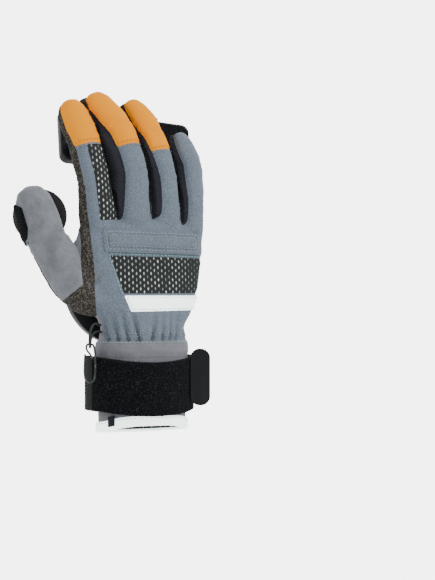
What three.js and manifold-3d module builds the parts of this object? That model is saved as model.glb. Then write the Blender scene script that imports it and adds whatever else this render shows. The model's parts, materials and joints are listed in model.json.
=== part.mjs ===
// A slide glove for the right hand, in millimetres, standing with its fingers up as a hand would fill it.
// The origin is the centre of the cuff's opening. +Z runs to the fingertips, -Y is the back of the hand,
// +Y the palm, -X the thumb's side and +X the little finger's side.
// One hollow wall is worked out from the section tables and cut along the seams into the sewn panels.
// Pads, patches and the strap lie on that wall, and the hard pucks and plate are seated on their patches.
import * as THREE from "three";
import { mergeVertices } from "three/addons/utils/BufferGeometryUtils.js";
import Module from "manifold-3d";

const wasm = await Module();
wasm.setup();

// Fabric and clearances
const WALL = 2;
const GAP = 0.3;
const PANEL = 1.2;
const PAD = 2.4;
const LINING = 1;

// Cuff and hand
const CUFF_LENGTH = 74;
const CUFF_WIDTH = 74;
const CUFF_DEPTH = 54;
const WRIST_WIDTH = 66;
const WRIST_DEPTH = 50;
const HAND_LENGTH = 86;
const KNUCKLE_WIDTH = 98;
const KNUCKLE_DEPTH = 34;
const HEM_TILT = 6;
const GATHER_COUNT = 16;
const GATHER_DEPTH = 1.5;

// Digits
const FINGER_LENGTH = 123;
const FINGER_WIDTH = 25.5;
const FINGER_DEPTH = 25;
const THUMB_LENGTH = 140;
const THUMB_WIDTH = 29.5;
const THUMB_DEPTH = 27;

// Hard pieces
const PALM_PUCK_DIAMETER = 102;
const PALM_PUCK_THICKNESS = 13;
const THUMB_PUCK_DIAMETER = 41;
const THUMB_PUCK_THICKNESS = 9;
const PLATE_WIDTH = 107;
const PLATE_HEIGHT = 46;
const PLATE_THICKNESS = 8;
const PLATE_CORNER = 6;
const HOOK_SHEET = 1.6;
const PUCK_BEVEL = 6;
const THUMB_PUCK_BEVEL = 0.9 * PUCK_BEVEL;
const PUCK_EDGE = 1; // of the turned edge at a puck's back
const PUCK_SLOPE = 0.8; // how far a puck's bevel falls, as a share of its width
const PLATE_BEVEL = 1.2;
const PATCH = 1.6;
const PATCH_CORNER = 3;
const PATCH_SHARES = { wide: 0.72, high: 0.74 }; // of a finger's width and the plate's height
const PALM_PAD = { wide: 0.66, high: 0.7, drop: 0.06 }; // shares of the palm puck's diameter
const THUMB_PAD = { wide: 0.8, high: 0.9, out: 1.4 }; // shares of the thumb's width, and out past the wrap

// Wrist strap, tab and hem
const BAND_HEIGHT = 13;
const STRAP_HEIGHT = 41;
const STRAP_REST = 1; // how far the strap stays below the cuff band
const STRAP_BOTTOM = CUFF_LENGTH - 1.5 * BAND_HEIGHT - STRAP_REST - STRAP_HEIGHT;
const STRAP_WIDTH = 86;
const STRAP_DEPTH = 62;
const STRAP_SAG = 4.5;
const TAB_REACH = 15;
const TAB_HEIGHT = 43;
const TAB_THICKNESS = 3.6;
const TAB_CORNER = 7;
const TAB_BEVEL = 0.8;
const BINDING_HEIGHT = 5.5;
const BINDING_THICKNESS = 1.6;

// Clip and its cord
const CORD_DIAMETER = 1.8;
const CLIP_WIRE = 1.6;
const CLIP_LENGTH = 30;
const CLIP_WIDTH = 9.5;

// Mesh fineness
const HAND_SIDES = 16;
const GATHER_SIDES = 48;
const DIGIT_SIDES = 10;
const INNER_SIDES = 8;
const ROUND_SIDES = 32;
const WIRE_SIDES = 6;
const CORD_SIDES = 8;
const CORD_STEPS = 18;
const CLIP_STEPS = 22;
const ROUTE_STEPS = 60;
const CUTTER_STEPS = 4; // along a whole digit
const CUTTER_FAN = 75; // degrees
const CUTTER_REACH = 0.8; // share of a digit's width, from its middle
const SECTOR_START = 0.75; // share of the hand's half width
const FAR = 400; // longer than the glove, for cutters
const MERGE = 0.04; // facets this close to flat are merged

const rad = THREE.MathUtils.degToRad;
const deg = THREE.MathUtils.radToDeg;
const lerp = THREE.MathUtils.lerp;
const smooth = THREE.MathUtils.smoothstep;
const vec = (x, y, z) => new THREE.Vector3(x, y, z);

const finishes = {
  fabric: { color: 0x6f7c8a, roughness: 0.9 },
  orange: { color: 0xf2a23a, roughness: 0.85 },
  black_knit: { color: 0x14161c, roughness: 0.9 },
  aramid: { color: 0x4a4742, roughness: 0.9 },
  mesh: { color: 0x2a2f2d, roughness: 0.8 },
  reflective: { color: 0xe9eeee, roughness: 0.5 },
  suede: { color: 0x86868f, roughness: 0.95 },
  loop: { color: 0x0d0f12, roughness: 1 },
  webbing: { color: 0x2b2f2e, roughness: 0.85 },
  rubber: { color: 0x1b1f1f, roughness: 0.55 },
  plastic: { color: 0x0e1112, roughness: 0.35 },
  wire: { color: 0x59605f, roughness: 0.4, metalness: 0.6 },
  cord: { color: 0x101314, roughness: 0.7 },
};

// Cuff and hand, from the hem to the knuckles. up: share of the cuff's or the hand's length. wide, back, palm:
// shares of the named width and half depth there. side, lift: how far the centre lies off the middle, shares
// of the knuckles' width and depth. square: 2 is an ellipse, more is boxier.
const CUFF_ROWS = [
  { up: -0.3, wide: 0.93, back: 0.94, palm: 0.94 },
  { up: 0.1, wide: 0.93, back: 0.94, palm: 0.94 },
  { up: 0.74, wide: 1.0, back: 1.0, palm: 1.0 },
  { up: 0.9, wide: 0.98, back: 0.97, palm: 0.97 },
];
const HAND_ROWS = [
  { up: 0.16, wide: 0.8, back: 1.18, palm: 1.36, side: 0.01, lift: 0.04, square: 2.1 },
  { up: 0.34, wide: 0.92, back: 1.08, palm: 1.28, side: 0.01, lift: 0.08, square: 2.2 },
  { up: 0.55, wide: 1.0, back: 1.0, palm: 1.18, side: 0.005, lift: 0.1, square: 2.3 },
  { up: 0.76, wide: 1.04, back: 0.93, palm: 1.02, side: 0.0, lift: 0.12, square: 2.4 },
  { up: 0.9, wide: 1.0, back: 0.78, palm: 0.84, side: 0.0, lift: 0.13, square: 2.3 },
  { up: 0.98, wide: 0.86, back: 0.5, palm: 0.56, side: 0.0, lift: 0.14, square: 2.2 },
];

// Fingers. across, up, lift: place of the root, as shares of the knuckles' width, the hand's length and the
// knuckles' depth. long, wide: shares of the finger's length and width. turn: degrees that the pad faces away
// from the thumb. lean: degrees towards the thumb and curl: degrees towards the palm, each at the root and
// added at the middle and end joints.
const FINGERS = [
  {
    name: "index", across: -0.325, up: 0.72, lift: 0.12, long: 0.985, wide: 1.02, turn: 8,
    lean: [5.5, 6, 4], curl: [4, 13, 14],
  },
  {
    name: "middle", across: -0.062, up: 0.74, lift: 0.1, long: 1.045, wide: 1.08, turn: 2,
    lean: [0, 12.5, 17.5], curl: [4, 13, 14],
  },
  {
    name: "ring", across: 0.2, up: 0.72, lift: 0.11, long: 1.015, wide: 0.96, turn: -5,
    lean: [-1, 9, 9.5], curl: [4, 14, 15],
  },
  {
    name: "little", across: 0.4, up: 0.64, lift: 0.12, long: 0.837, wide: 0.84, turn: -16,
    lean: [-7, 0, 6.5], curl: [3, 12, 15],
  },
];
const FINGER_ROWS = [
  { along: 0.0, wide: 0.8, deep: 0.72 },
  { along: 0.12, wide: 1.02, deep: 1.0 },
  { along: 0.42, wide: 0.98, deep: 1.01 },
  { along: 0.66, wide: 0.97, deep: 0.98 },
  { along: 0.84, wide: 0.93, deep: 0.92 },
  { along: 0.94, wide: 0.76, deep: 0.74 },
  { along: 0.99, wide: 0.4, deep: 0.38 },
];
const THUMB = {
  name: "thumb", across: -0.12, up: 0.14, lift: 0.2, long: 0.925, wide: 1.0, turn: 26,
  lean: [64, -30, -13], curl: [2, 3, 3],
};
const THUMB_ROWS = [
  { along: 0.0, wide: 0.7, deep: 0.9 },
  { along: 0.13, wide: 0.8, deep: 1.15 },
  { along: 0.28, wide: 1.06, deep: 1.3 },
  { along: 0.42, wide: 1.12, deep: 1.2 },
  { along: 0.6, wide: 1.06, deep: 1.04 },
  { along: 0.84, wide: 1.02, deep: 0.98 },
  { along: 0.945, wide: 0.8, deep: 0.78 },
  { along: 0.99, wide: 0.42, deep: 0.4 },
];

// Where the middle and the end joint turn, as shares of the length.
const FINGER_BENDS = [[0.36, 0.52], [0.62, 0.8]];
const THUMB_BENDS = [[0.22, 0.42], [0.56, 0.8]];

// Seams round a digit, in degrees: 0 faces away from the thumb, 90 is the pad, 180 faces it and 270 is the back.
const PAD_EDGE = [35, 142];
const BACK_EDGE = [216, 325];
const CAP_FROM = { index: 0.62, middle: 0.62, ring: 0.6 };
const WEB_FROM = 0.2; // where the knit sides start, as a share of the finger's length
const SIDE_SEAM = 0.12; // how far the palm's seam lies in front of the middle, a share of the knuckles' depth
const THUMB_COLLAR = 0.3; // where the thumb's own panels start, as a share of its length
const PAST_TIP = 1.1; // an end beyond a digit's tip

// Panels cut round one digit. from, to: shares of its length. left, right: degrees round it.
const DIGIT_PANELS = [
  { name: "thumb_back", finish: "fabric", from: THUMB_COLLAR, to: PAST_TIP, left: 182, right: 352 },
  { name: "thumb_strip", finish: "aramid", from: THUMB_COLLAR, to: 0.62, left: 140, right: 182 },
  { name: "thumb_front", finish: "suede", from: THUMB_COLLAR, to: PAST_TIP, left: -8, right: 182 },
  { name: "index_cap", finish: "orange", from: CAP_FROM.index, to: PAST_TIP, left: BACK_EDGE[0], right: 352 },
  { name: "middle_cap", finish: "orange", from: CAP_FROM.middle, to: PAST_TIP, left: BACK_EDGE[0], right: 352 },
  { name: "ring_cap", finish: "orange", from: CAP_FROM.ring, to: PAST_TIP, left: BACK_EDGE[0], right: 352 },
  { name: "index_mesh", finish: "mesh", from: 0.24, to: CAP_FROM.index - 0.01, left: 285, right: 345 },
  ...["index", "middle", "ring"].map((digit) => ({
    name: `${digit}_outer_side`, finish: "black_knit",
    from: WEB_FROM, to: PAST_TIP, left: BACK_EDGE[1] - 360, right: PAD_EDGE[0],
  })),
  ...["middle", "ring", "little"].map((digit) => ({
    name: `${digit}_inner_side`, finish: "black_knit",
    from: WEB_FROM, to: PAST_TIP, left: PAD_EDGE[1], right: BACK_EDGE[0],
  })),
];

// Stretches of the strips that run over the hand's edge. low, high: shares of the hand's length. left, right:
// degrees round the hand.
const EDGES = {
  collar: { low: 0, high: 0.6, left: 100, right: 200 },
  thumb: { low: 0.3, high: 1, left: 172, right: 193 },
  little: { low: 0.1, high: 0.94, left: 8, right: 24 },
};
const THUMB_WRAP = { from: 0.6, to: 0.82, left: 80, right: 212 };

// Panels on the back, as corners [across, up]: shares of the knuckles' width and the hand's length.
const KNUCKLE_PAD = [[-0.35, 0.69], [0.46, 0.67], [0.47, 0.87], [-0.36, 0.89]];
const BACK_MESH = [[-0.21, 0.33], [0.8, 0.33], [0.8, 0.63], [-0.31, 0.66]];
const REFLECTIVE = [[-0.16, 0.17], [0.8, 0.19], [0.8, 0.31], [-0.21, 0.31]];

// The clip's cord, as points in millimetres: out of the seam, round the clip's top wire and back into it.
const CORD_ROUTE = [
  [-35.2, -2.5, 78.4], [-38.6, -4.4, 79.5], [-43.1, -8.5, 79.2], [-46.9, -12.7, 76], [-49.5, -16.2, 71.5],
  [-50.1, -17.1, 66], [-49.5, -16, 63.2], [-48.4, -13.8, 62.2], [-47.3, -11.5, 63.2], [-46.6, -10.5, 66],
  [-45.1, -9.4, 70], [-42.5, -7.7, 72.8], [-38.2, -4.6, 73.7], [-34.3, -1.6, 73.3],
];

// Solids from meshes

function manifoldOf(points, faces) {
  return new wasm.Manifold(
    new wasm.Mesh({
      numProp: 3,
      vertProperties: new Float32Array(points.flatMap((p) => [p.x, p.y, p.z])),
      triVerts: new Uint32Array(faces),
    }),
  );
}

// A closed solid through rings of equal count, each a list of points.
function loft(rings) {
  const count = rings[0].length;
  const middle = (ring) => ring.reduce((sum, p) => sum.add(p), vec(0, 0, 0)).divideScalar(count);
  const points = [...rings.flat(), middle(rings[0]), middle(rings.at(-1))];
  const faces = [];
  for (let r = 0; r + 1 < rings.length; r++)
    for (let k = 0; k < count; k++) {
      const a = r * count + k;
      const b = r * count + ((k + 1) % count);
      faces.push(a, b, b + count, a, b + count, a + count);
    }
  const first = points.length - 2;
  const top = (rings.length - 1) * count;
  for (let k = 0; k < count; k++) {
    const next = (k + 1) % count;
    faces.push(first, next, k, first + 1, top + k, top + next);
  }
  const made = manifoldOf(points, faces);
  return made.volume() > 0 ? made : manifoldOf(points, faces.toReversed());
}

// A closed three.js geometry as a solid that can be joined and cut.
function solidOf(geometry) {
  const bare = geometry.clone();
  bare.deleteAttribute("normal");
  bare.deleteAttribute("uv");
  const merged = mergeVertices(bare, 1e-4);
  return new wasm.Manifold(
    new wasm.Mesh({
      numProp: 3,
      vertProperties: new Float32Array(merged.attributes.position.array),
      triVerts: new Uint32Array(merged.index.array),
    }),
  );
}

const join = (solids) => solids.reduce((whole, next) => whole.add(next));

// The largest piece of a cut solid, without the slivers that a slanting cutter leaves.
const largest = (solid) => solid.decompose().reduce((a, b) => (a.volume() > b.volume() ? a : b));

function box(low, high) {
  const made = new THREE.BoxGeometry(high.x - low.x, high.y - low.y, high.z - low.z);
  made.translate((low.x + high.x) / 2, (low.y + high.y) / 2, (low.z + high.z) / 2);
  return solidOf(made);
}

const between = (low, high) => box(vec(-FAR, -FAR, low), vec(FAR, FAR, high));

// Everything above the tilted plane that the hem lies in, raised by height.
function aboveHem(height) {
  const block = new THREE.BoxGeometry(FAR, FAR, FAR);
  block.translate(0, 0, FAR / 2 + height);
  block.rotateX(rad(-HEM_TILT));
  return solidOf(block);
}

// Cuff and hand

const SECTIONS = [
  ...CUFF_ROWS.map((row) => ({
    x: 0,
    y: 0,
    z: row.up * CUFF_LENGTH,
    wide: (row.wide * CUFF_WIDTH) / 2,
    back: (row.back * CUFF_DEPTH) / 2,
    palm: (row.palm * CUFF_DEPTH) / 2,
    square: 2,
  })),
  {
    x: 0,
    y: 0,
    z: CUFF_LENGTH,
    wide: WRIST_WIDTH / 2,
    back: WRIST_DEPTH / 2,
    palm: WRIST_DEPTH / 2,
    square: 2,
  },
  ...HAND_ROWS.map((row) => ({
    x: row.side * KNUCKLE_WIDTH,
    y: row.lift * KNUCKLE_DEPTH,
    z: CUFF_LENGTH + row.up * HAND_LENGTH,
    wide: (row.wide * KNUCKLE_WIDTH) / 2,
    back: (row.back * KNUCKLE_DEPTH) / 2,
    palm: (row.palm * KNUCKLE_DEPTH) / 2,
    square: row.square,
  })),
];

// The section at any height, between the two rows that hold it.
function sectionAt(z) {
  const above = SECTIONS.findIndex((row) => row.z >= z);
  const next = above < 0 ? SECTIONS.length - 1 : Math.max(1, above);
  const [a, b] = [SECTIONS[next - 1], SECTIONS[next]];
  const share = Math.min(1, (z - a.z) / (b.z - a.z));
  return Object.fromEntries(Object.keys(a).map((key) => [key, lerp(a[key], b[key], share)]));
}

// One cross-section, grown outwards by what lift gives at each angle.
function handRing(row, sides, lift) {
  const power = 2 / row.square;
  return Array.from({ length: sides }, (_, k) => {
    const angle = (2 * Math.PI * k) / sides;
    const [c, s] = [Math.cos(angle), Math.sin(angle)];
    const reach = lift(angle);
    const deep = (s < 0 ? row.back : row.palm) + reach;
    return vec(
      row.x + Math.sign(c) * Math.abs(c) ** power * (row.wide + reach),
      row.y + Math.sign(s) * Math.abs(s) ** power * deep,
      row.z,
    );
  });
}

const handSolid = (lift) => loft(SECTIONS.map((row) => handRing(row, HAND_SIDES, () => lift)));

const GATHER_FROM = CUFF_LENGTH - BAND_HEIGHT / 2;
const GATHER_ENDS = 0.2; // the gathers' depth at their top, and in their hollows, as a share
const GATHER_TO = CUFF_LENGTH + HAND_ROWS[0].up * HAND_LENGTH;

// The elastic's gathers stand on the back of the wrist and are deepest at the elastic. The rest of their ring
// is sunk into the hand.
function gatherSolid() {
  return loft(
    [GATHER_FROM, CUFF_LENGTH, GATHER_TO].map((z) => {
      const depth = GATHER_DEPTH * lerp(1, GATHER_ENDS, (z - GATHER_FROM) / (GATHER_TO - GATHER_FROM));
      const crest = (angle) => lerp(GATHER_ENDS, 1, Math.cos((GATHER_COUNT * angle) / 2) ** 2);
      const fold = (angle) => depth * -Math.sin(angle) * crest(angle);
      const lift = (angle) => (Math.sin(angle) < -0.1 ? fold(angle) : -GATHER_DEPTH);
      return handRing(sectionAt(z), GATHER_SIDES, lift);
    }),
  );
}

// Digits

// A digit's centre line and the frame on it, found by adding short steps the way that its joints give.
function stationsOf(digit) {
  const palmward = vec(Math.sin(rad(digit.turn)), Math.cos(rad(digit.turn)), 0);
  const place = vec(
    digit.across * KNUCKLE_WIDTH,
    digit.lift * KNUCKLE_DEPTH,
    CUFF_LENGTH + digit.up * HAND_LENGTH,
  );
  const turned = (angles, t) =>
    rad(angles[0] + digit.bends.reduce((sum, [from, to], k) => sum + angles[k + 1] * smooth(t, from, to), 0));
  return Array.from({ length: ROUTE_STEPS + 1 }, (_, k) => {
    const t = k / ROUTE_STEPS;
    const lean = turned(digit.lean, t);
    const curl = turned(digit.curl, t);
    const ahead = vec(-Math.sin(lean), 0, Math.cos(lean)).multiplyScalar(Math.cos(curl));
    ahead.addScaledVector(palmward, Math.sin(curl)).normalize();
    const pad = palmward.clone().addScaledVector(ahead, -palmward.dot(ahead)).normalize();
    const station = { place: place.clone(), ahead, pad, side: pad.clone().cross(ahead) };
    place.addScaledVector(ahead, digit.length / ROUTE_STEPS);
    return station;
  });
}

function digitOf(row, rows, bends, length, width, depth) {
  const sizes = { length: row.long * length, width: row.wide * width, depth: row.wide * depth };
  const digit = { ...row, rows, bends, ...sizes };
  return { ...digit, stations: stationsOf(digit) };
}

const fingers = FINGERS.map((row) =>
  digitOf(row, FINGER_ROWS, FINGER_BENDS, FINGER_LENGTH, FINGER_WIDTH, FINGER_DEPTH),
);
const thumb = digitOf(THUMB, THUMB_ROWS, THUMB_BENDS, THUMB_LENGTH, THUMB_WIDTH, THUMB_DEPTH);
const [index, middle, ring, little] = fingers;

const stationAt = (digit, along) =>
  digit.stations[Math.round(THREE.MathUtils.clamp(along, 0, 1) * ROUTE_STEPS)];

function digitPoint(digit, along, angle, wide, deep, ahead = 0) {
  const here = stationAt(digit, along);
  return here.place
    .clone()
    .addScaledVector(here.side, Math.cos(angle) * wide)
    .addScaledVector(here.pad, Math.sin(angle) * deep)
    .addScaledVector(here.ahead, ahead);
}

const TIP_FROM = 0.85; // where a lifted surface turns ahead over the tip
const TIP_LIFT = 0.3; // added to a narrow row's share of the lift

function digitSolid(digit, lift, sides = DIGIT_SIDES) {
  return loft(
    digit.rows.map((row) => {
      const wide = (row.wide * digit.width) / 2 + lift * Math.min(1, row.wide + TIP_LIFT);
      const deep = (row.deep * digit.depth) / 2 + lift * Math.min(1, row.deep + TIP_LIFT);
      const ahead = lift * smooth(row.along, TIP_FROM, 1);
      return Array.from({ length: sides }, (_, k) =>
        digitPoint(digit, row.along, (2 * Math.PI * k) / sides, wide, deep, ahead),
      );
    }),
  );
}

// A slice of a digit as a cutter: shares of its length, degrees round it, and grown by a gap on each side.
function slice(digit, from, to, left, right, grow = 0) {
  const reach = CUTTER_REACH * digit.width + 2 * grow;
  const opened = deg(grow / (digit.width / 2));
  const [a, b] = [rad(left - opened), rad(right + opened)];
  const fan = Math.max(2, Math.ceil((b - a) / rad(CUTTER_FAN)));
  const steps = Math.max(2, Math.round((Math.min(to, 1) - from) * CUTTER_STEPS));
  const rings = Array.from({ length: steps + 1 }, (_, r) => {
    const along = lerp(from, Math.min(to, 1), r / steps);
    const ahead = r === 0 ? -grow : r === steps ? (to > 1 ? reach : grow) : 0;
    const core = digitPoint(digit, along, 0, 0, 0, ahead);
    const rim = Array.from({ length: fan + 1 }, (_, k) =>
      digitPoint(digit, along, lerp(a, b, k / fan), reach, reach, ahead),
    );
    return [core, ...rim];
  });
  return loft(rings);
}

const SKIN = 0.1; // how far a digit's own cutters reach past its surface

// A slice that cuts only its own digit, and not the digits beside it.
const ownSlice = (digit, ...limits) => slice(digit, ...limits).intersect(digitSolid(digit, SKIN));

// A sector of the hand's edge as a cutter: heights, and degrees round its middle as round a digit. It starts
// short of the wall, so that it cuts nothing between the fingers.
function sector(low, high, left, right, grow = 0) {
  const heights = [low - grow, (low + high) / 2, high + grow];
  const [a, b] = [rad(left), rad(right)];
  const fan = Math.max(2, Math.ceil((b - a) / rad(CUTTER_FAN)));
  const rings = heights.map((z) => {
    const row = sectionAt(z);
    const opened = grow / row.wide;
    const at = (angle, reach) => vec(row.x + Math.cos(angle) * reach, row.y + Math.sin(angle) * reach, z);
    const rim = Array.from({ length: fan + 1 }, (_, k) => at(lerp(a - opened, b + opened, k / fan), FAR));
    const start = SECTOR_START * row.wide - grow;
    return [at(b + opened, start), at(a - opened, start), ...rim];
  });
  return loft(rings);
}

// A prism through the back of the hand, from corners that are shares of the hand, moved outwards by grow.
function backPrism(corners, grow = 0) {
  const points = corners.map(
    ([across, up]) => new THREE.Vector2(across * KNUCKLE_WIDTH, CUFF_LENGTH + up * HAND_LENGTH),
  );
  const sum = points.reduce((total, p) => total.add(p), new THREE.Vector2());
  const centre = sum.divideScalar(points.length);
  const moved = points.map(
    (p) => new THREE.Vector2(p.x + Math.sign(p.x - centre.x) * grow, p.y + Math.sign(p.y - centre.y) * grow),
  );
  const prism = new THREE.ExtrudeGeometry(new THREE.Shape(moved), { depth: FAR, bevelEnabled: false });
  prism.rotateX(rad(90));
  prism.translate(0, SIDE_SEAM * KNUCKLE_DEPTH + grow, 0);
  return solidOf(prism);
}

const digits = [...fingers, thumb];

// The glove's filled outer form, grown outwards by lift.
function form(lift, gathered = false) {
  const solids = [handSolid(lift), ...digits.map((digit) => digitSolid(digit, lift))];
  return join(gathered ? [...solids, gatherSolid()] : solids);
}

const inner = join([handSolid(-WALL), ...digits.map((digit) => digitSolid(digit, -WALL, INNER_SIDES))]);
const clear = form(GAP, true);
const hand = (up) => CUFF_LENGTH + up * HAND_LENGTH;
const edge = ({ low, high, left, right }, grow) => sector(hand(low), hand(high), left, right, grow);

const nodes = [];
function add(name, finish, solid) {
  nodes.push({ name, finish, solid: largest(solid).simplify(MERGE) });
}

// Sewn panels: each is cut out of the wall, and what is left keeps a seam's gap to it.
let wall = form(0, true).subtract(inner).intersect(aboveHem(0));

function panel(name, finish, cutter) {
  add(name, finish, wall.intersect(cutter(0)));
  wall = wall.subtract(cutter(GAP));
}

const bandFrom = GATHER_FROM - BAND_HEIGHT;
panel("cuff", "fabric", (grow) => between(-FAR, bandFrom + grow));
panel("cuff_band", "suede", (grow) => between(-FAR, GATHER_FROM + grow));
for (const { name, finish, from, to, left, right } of DIGIT_PANELS) {
  const digit = digits.find((one) => name.startsWith(one.name));
  panel(name, finish, (grow) => ownSlice(digit, from, to, left, right, grow));
}
panel("thumb_collar", "aramid", (grow) =>
  ownSlice(thumb, 0.06, THUMB_COLLAR, 150, 290, grow).intersect(edge(EDGES.collar, grow)),
);
panel("thumb_side_strip", "aramid", (grow) =>
  join([ownSlice(index, 0, PAST_TIP, 150, BACK_EDGE[0], grow), edge(EDGES.thumb, grow)]),
);
panel("little_side_strip", "aramid", (grow) =>
  join([ownSlice(little, 0.1, PAST_TIP, 0, 40, grow), edge(EDGES.little, grow)]),
);
panel("back_mesh", "mesh", (grow) => backPrism(BACK_MESH, grow));
panel("palm", "suede", (grow) =>
  join([
    box(vec(-FAR, SIDE_SEAM * KNUCKLE_DEPTH - grow, 0), vec(FAR, FAR, hand(1))),
    ...fingers.map((digit) => ownSlice(digit, 0, PAST_TIP, PAD_EDGE[0], PAD_EDGE[1] + 6, grow)),
  ]),
);
add("hand_back", "fabric", wall);

// Layers that lie on the wall
const layer = (low, high) => form(high).subtract(low === GAP ? clear : form(low));

add("knuckle_pad", "fabric", layer(GAP, GAP + PAD).intersect(backPrism(KNUCKLE_PAD)));
add("reflective_strip", "reflective", layer(GAP, GAP + PANEL).intersect(backPrism(REFLECTIVE)));

const lined = form(-WALL - GAP).subtract(form(-WALL - GAP - LINING));
const liningTop = STRAP_BOTTOM + STRAP_HEIGHT;
add(
  "cuff_lining",
  "mesh",
  lined.intersect(between(-FAR, liningTop)).intersect(aboveHem(BINDING_HEIGHT + GAP)),
);

const bindingBody = form(GAP + BINDING_THICKNESS).subtract(form(-WALL - GAP - BINDING_THICKNESS));
const bindingRoom = form(GAP).subtract(form(-WALL - GAP)).intersect(aboveHem(-GAP));
add(
  "cuff_binding",
  "reflective",
  bindingBody
    .intersect(aboveHem(-GAP - BINDING_THICKNESS))
    .subtract(aboveHem(BINDING_HEIGHT))
    .subtract(bindingRoom),
);

// Wrist strap: a loop panel over the back and webbing over the palm, lower in the middle of each.
const STRAP_SHIFT = 0.03 * CUFF_WIDTH; // towards the thumb
const LOOP_ANGLES = [196, 340]; // degrees round the wrist that the loop panel covers
const STRAP_SEAM = 0.6; // degrees between the loop panel and the webbing
const SECTOR_STEPS = 6;

function strapRing(grow) {
  const drop = (angle) => STRAP_SAG * Math.sin(angle) ** 2;
  const ringAt = (height) =>
    Array.from({ length: ROUND_SIDES }, (_, k) => {
      const angle = (2 * Math.PI * k) / ROUND_SIDES;
      return vec(
        Math.cos(angle) * (STRAP_WIDTH / 2 + grow) - STRAP_SHIFT,
        Math.sin(angle) * (STRAP_DEPTH / 2 + grow),
        STRAP_BOTTOM + height - drop(angle) + STRAP_SAG / 2,
      );
    });
  return loft([ringAt(0), ringAt(STRAP_HEIGHT)]);
}

function strapSector(left, right) {
  const rim = Array.from({ length: SECTOR_STEPS + 1 }, (_, k) => rad(lerp(left, right, k / SECTOR_STEPS)));
  const outline = new THREE.Shape([
    new THREE.Vector2(-STRAP_SHIFT, 0),
    ...rim.map((angle) => new THREE.Vector2(Math.cos(angle) * FAR, Math.sin(angle) * FAR)),
  ]);
  return solidOf(new THREE.ExtrudeGeometry(outline, { depth: FAR, bevelEnabled: false }));
}

const strapBody = strapRing(0).subtract(clear);
const [loopFrom, loopTo] = LOOP_ANGLES;
add("loop_panel", "loop", strapBody.intersect(strapSector(loopFrom, loopTo)));
const webbing = strapSector(loopTo + STRAP_SEAM - 360, loopFrom - STRAP_SEAM);
add("wrist_strap", "webbing", strapBody.intersect(webbing));

// A flat plate with round corners, from 0 to thickness along its own Z, bevelled at both faces.
function roundedPlate(width, height, thickness, corner, bevel) {
  const outline = new THREE.Shape();
  const [w, h] = [width / 2 - bevel, height / 2 - bevel];
  const r = Math.max(corner - bevel, 0.5);
  outline.moveTo(-w + r, -h);
  outline.absarc(w - r, -h + r, r, -Math.PI / 2, 0);
  outline.absarc(w - r, h - r, r, 0, Math.PI / 2);
  outline.absarc(-w + r, h - r, r, Math.PI / 2, Math.PI);
  outline.absarc(-w + r, -h + r, r, Math.PI, 1.5 * Math.PI);
  return new THREE.ExtrudeGeometry(outline, {
    depth: thickness - 2 * bevel,
    bevelEnabled: bevel > 0,
    bevelThickness: bevel,
    bevelSize: bevel,
    bevelSegments: 1,
    curveSegments: 3,
  }).translate(0, 0, bevel);
}

// A placement with its own Z along face, its own Y as near to up as it can be, and its origin at place.
function placement(place, face, up) {
  const z = face.clone().normalize();
  const y = up.clone().addScaledVector(z, -up.dot(z)).normalize();
  return new THREE.Matrix4().makeBasis(y.clone().cross(z), y, z).setPosition(place);
}

// Pull tab at the strap's free end, standing off beside the little finger's side of the loop panel.
const TAB_RISE = 0.14; // of its middle above the strap's, as a share of its height
const tabAngle = rad(-38);
const tabFoot = vec(
  (Math.cos(tabAngle) * STRAP_WIDTH) / 2 - STRAP_SHIFT,
  (Math.sin(tabAngle) * STRAP_DEPTH) / 2,
  STRAP_BOTTOM + STRAP_HEIGHT / 2 + TAB_RISE * TAB_HEIGHT,
);
const TAB_SPREAD = rad(-26); // the tab's reach, from straight across towards the back
const tabAcross = vec(Math.cos(TAB_SPREAD), Math.sin(TAB_SPREAD), 0);
const tabFace = tabAcross.clone().cross(vec(0, 0, 1));
add(
  "pull_tab",
  "rubber",
  solidOf(
    roundedPlate(TAB_REACH, TAB_HEIGHT, TAB_THICKNESS, TAB_CORNER, TAB_BEVEL).applyMatrix4(
      placement(tabFoot.clone().addScaledVector(tabAcross, TAB_REACH / 2), tabFace, vec(0, 0, 1)),
    ),
  ).subtract(strapRing(GAP)),
);

// Hem tab on the thumb's side
const HEM_TAB_HEIGHT = 8;
const HEM_TAB_WIDTH = 5;
const HEM_TAB_RISE = 0.5; // above the cuff's edge
const hemTabAngle = rad(212);
const hemTabPlace = vec((Math.cos(hemTabAngle) * CUFF_WIDTH) / 2, (Math.sin(hemTabAngle) * CUFF_DEPTH) / 2, 0);
const hemOuter = GAP + BINDING_THICKNESS + GAP;
add(
  "hem_tab",
  "black_knit",
  form(hemOuter + PANEL)
    .subtract(form(hemOuter))
    .intersect(
      box(
        hemTabPlace.clone().add(vec(-HEM_TAB_WIDTH, -HEM_TAB_WIDTH, -FAR)),
        hemTabPlace.clone().add(vec(HEM_TAB_WIDTH, HEM_TAB_WIDTH, FAR)),
      ),
    )
    .intersect(aboveHem(HEM_TAB_RISE))
    .subtract(aboveHem(HEM_TAB_RISE + HEM_TAB_HEIGHT))
    .subtract(strapRing(GAP)),
);

// Palm puck on its loop pad
const PALM_FACE = 0.88 * KNUCKLE_DEPTH; // the plane that the puck's hook side lies in
const puckCentre = vec(0.01 * KNUCKLE_WIDTH, PALM_FACE, hand(0.44));

// A puck with a bevelled rim, standing on its own origin with its flat face along +Z.
function puckGeometry(diameter, thickness, bevel) {
  const r = diameter / 2;
  const profile = [
    [0, 0],
    [r - PUCK_EDGE, 0],
    [r, PUCK_EDGE],
    [r, thickness - bevel * PUCK_SLOPE],
    [r - bevel, thickness],
    [0, thickness],
  ].map(([x, y]) => new THREE.Vector2(x, y));
  return new THREE.LatheGeometry(profile, ROUND_SIDES).rotateX(rad(90));
}

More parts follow.
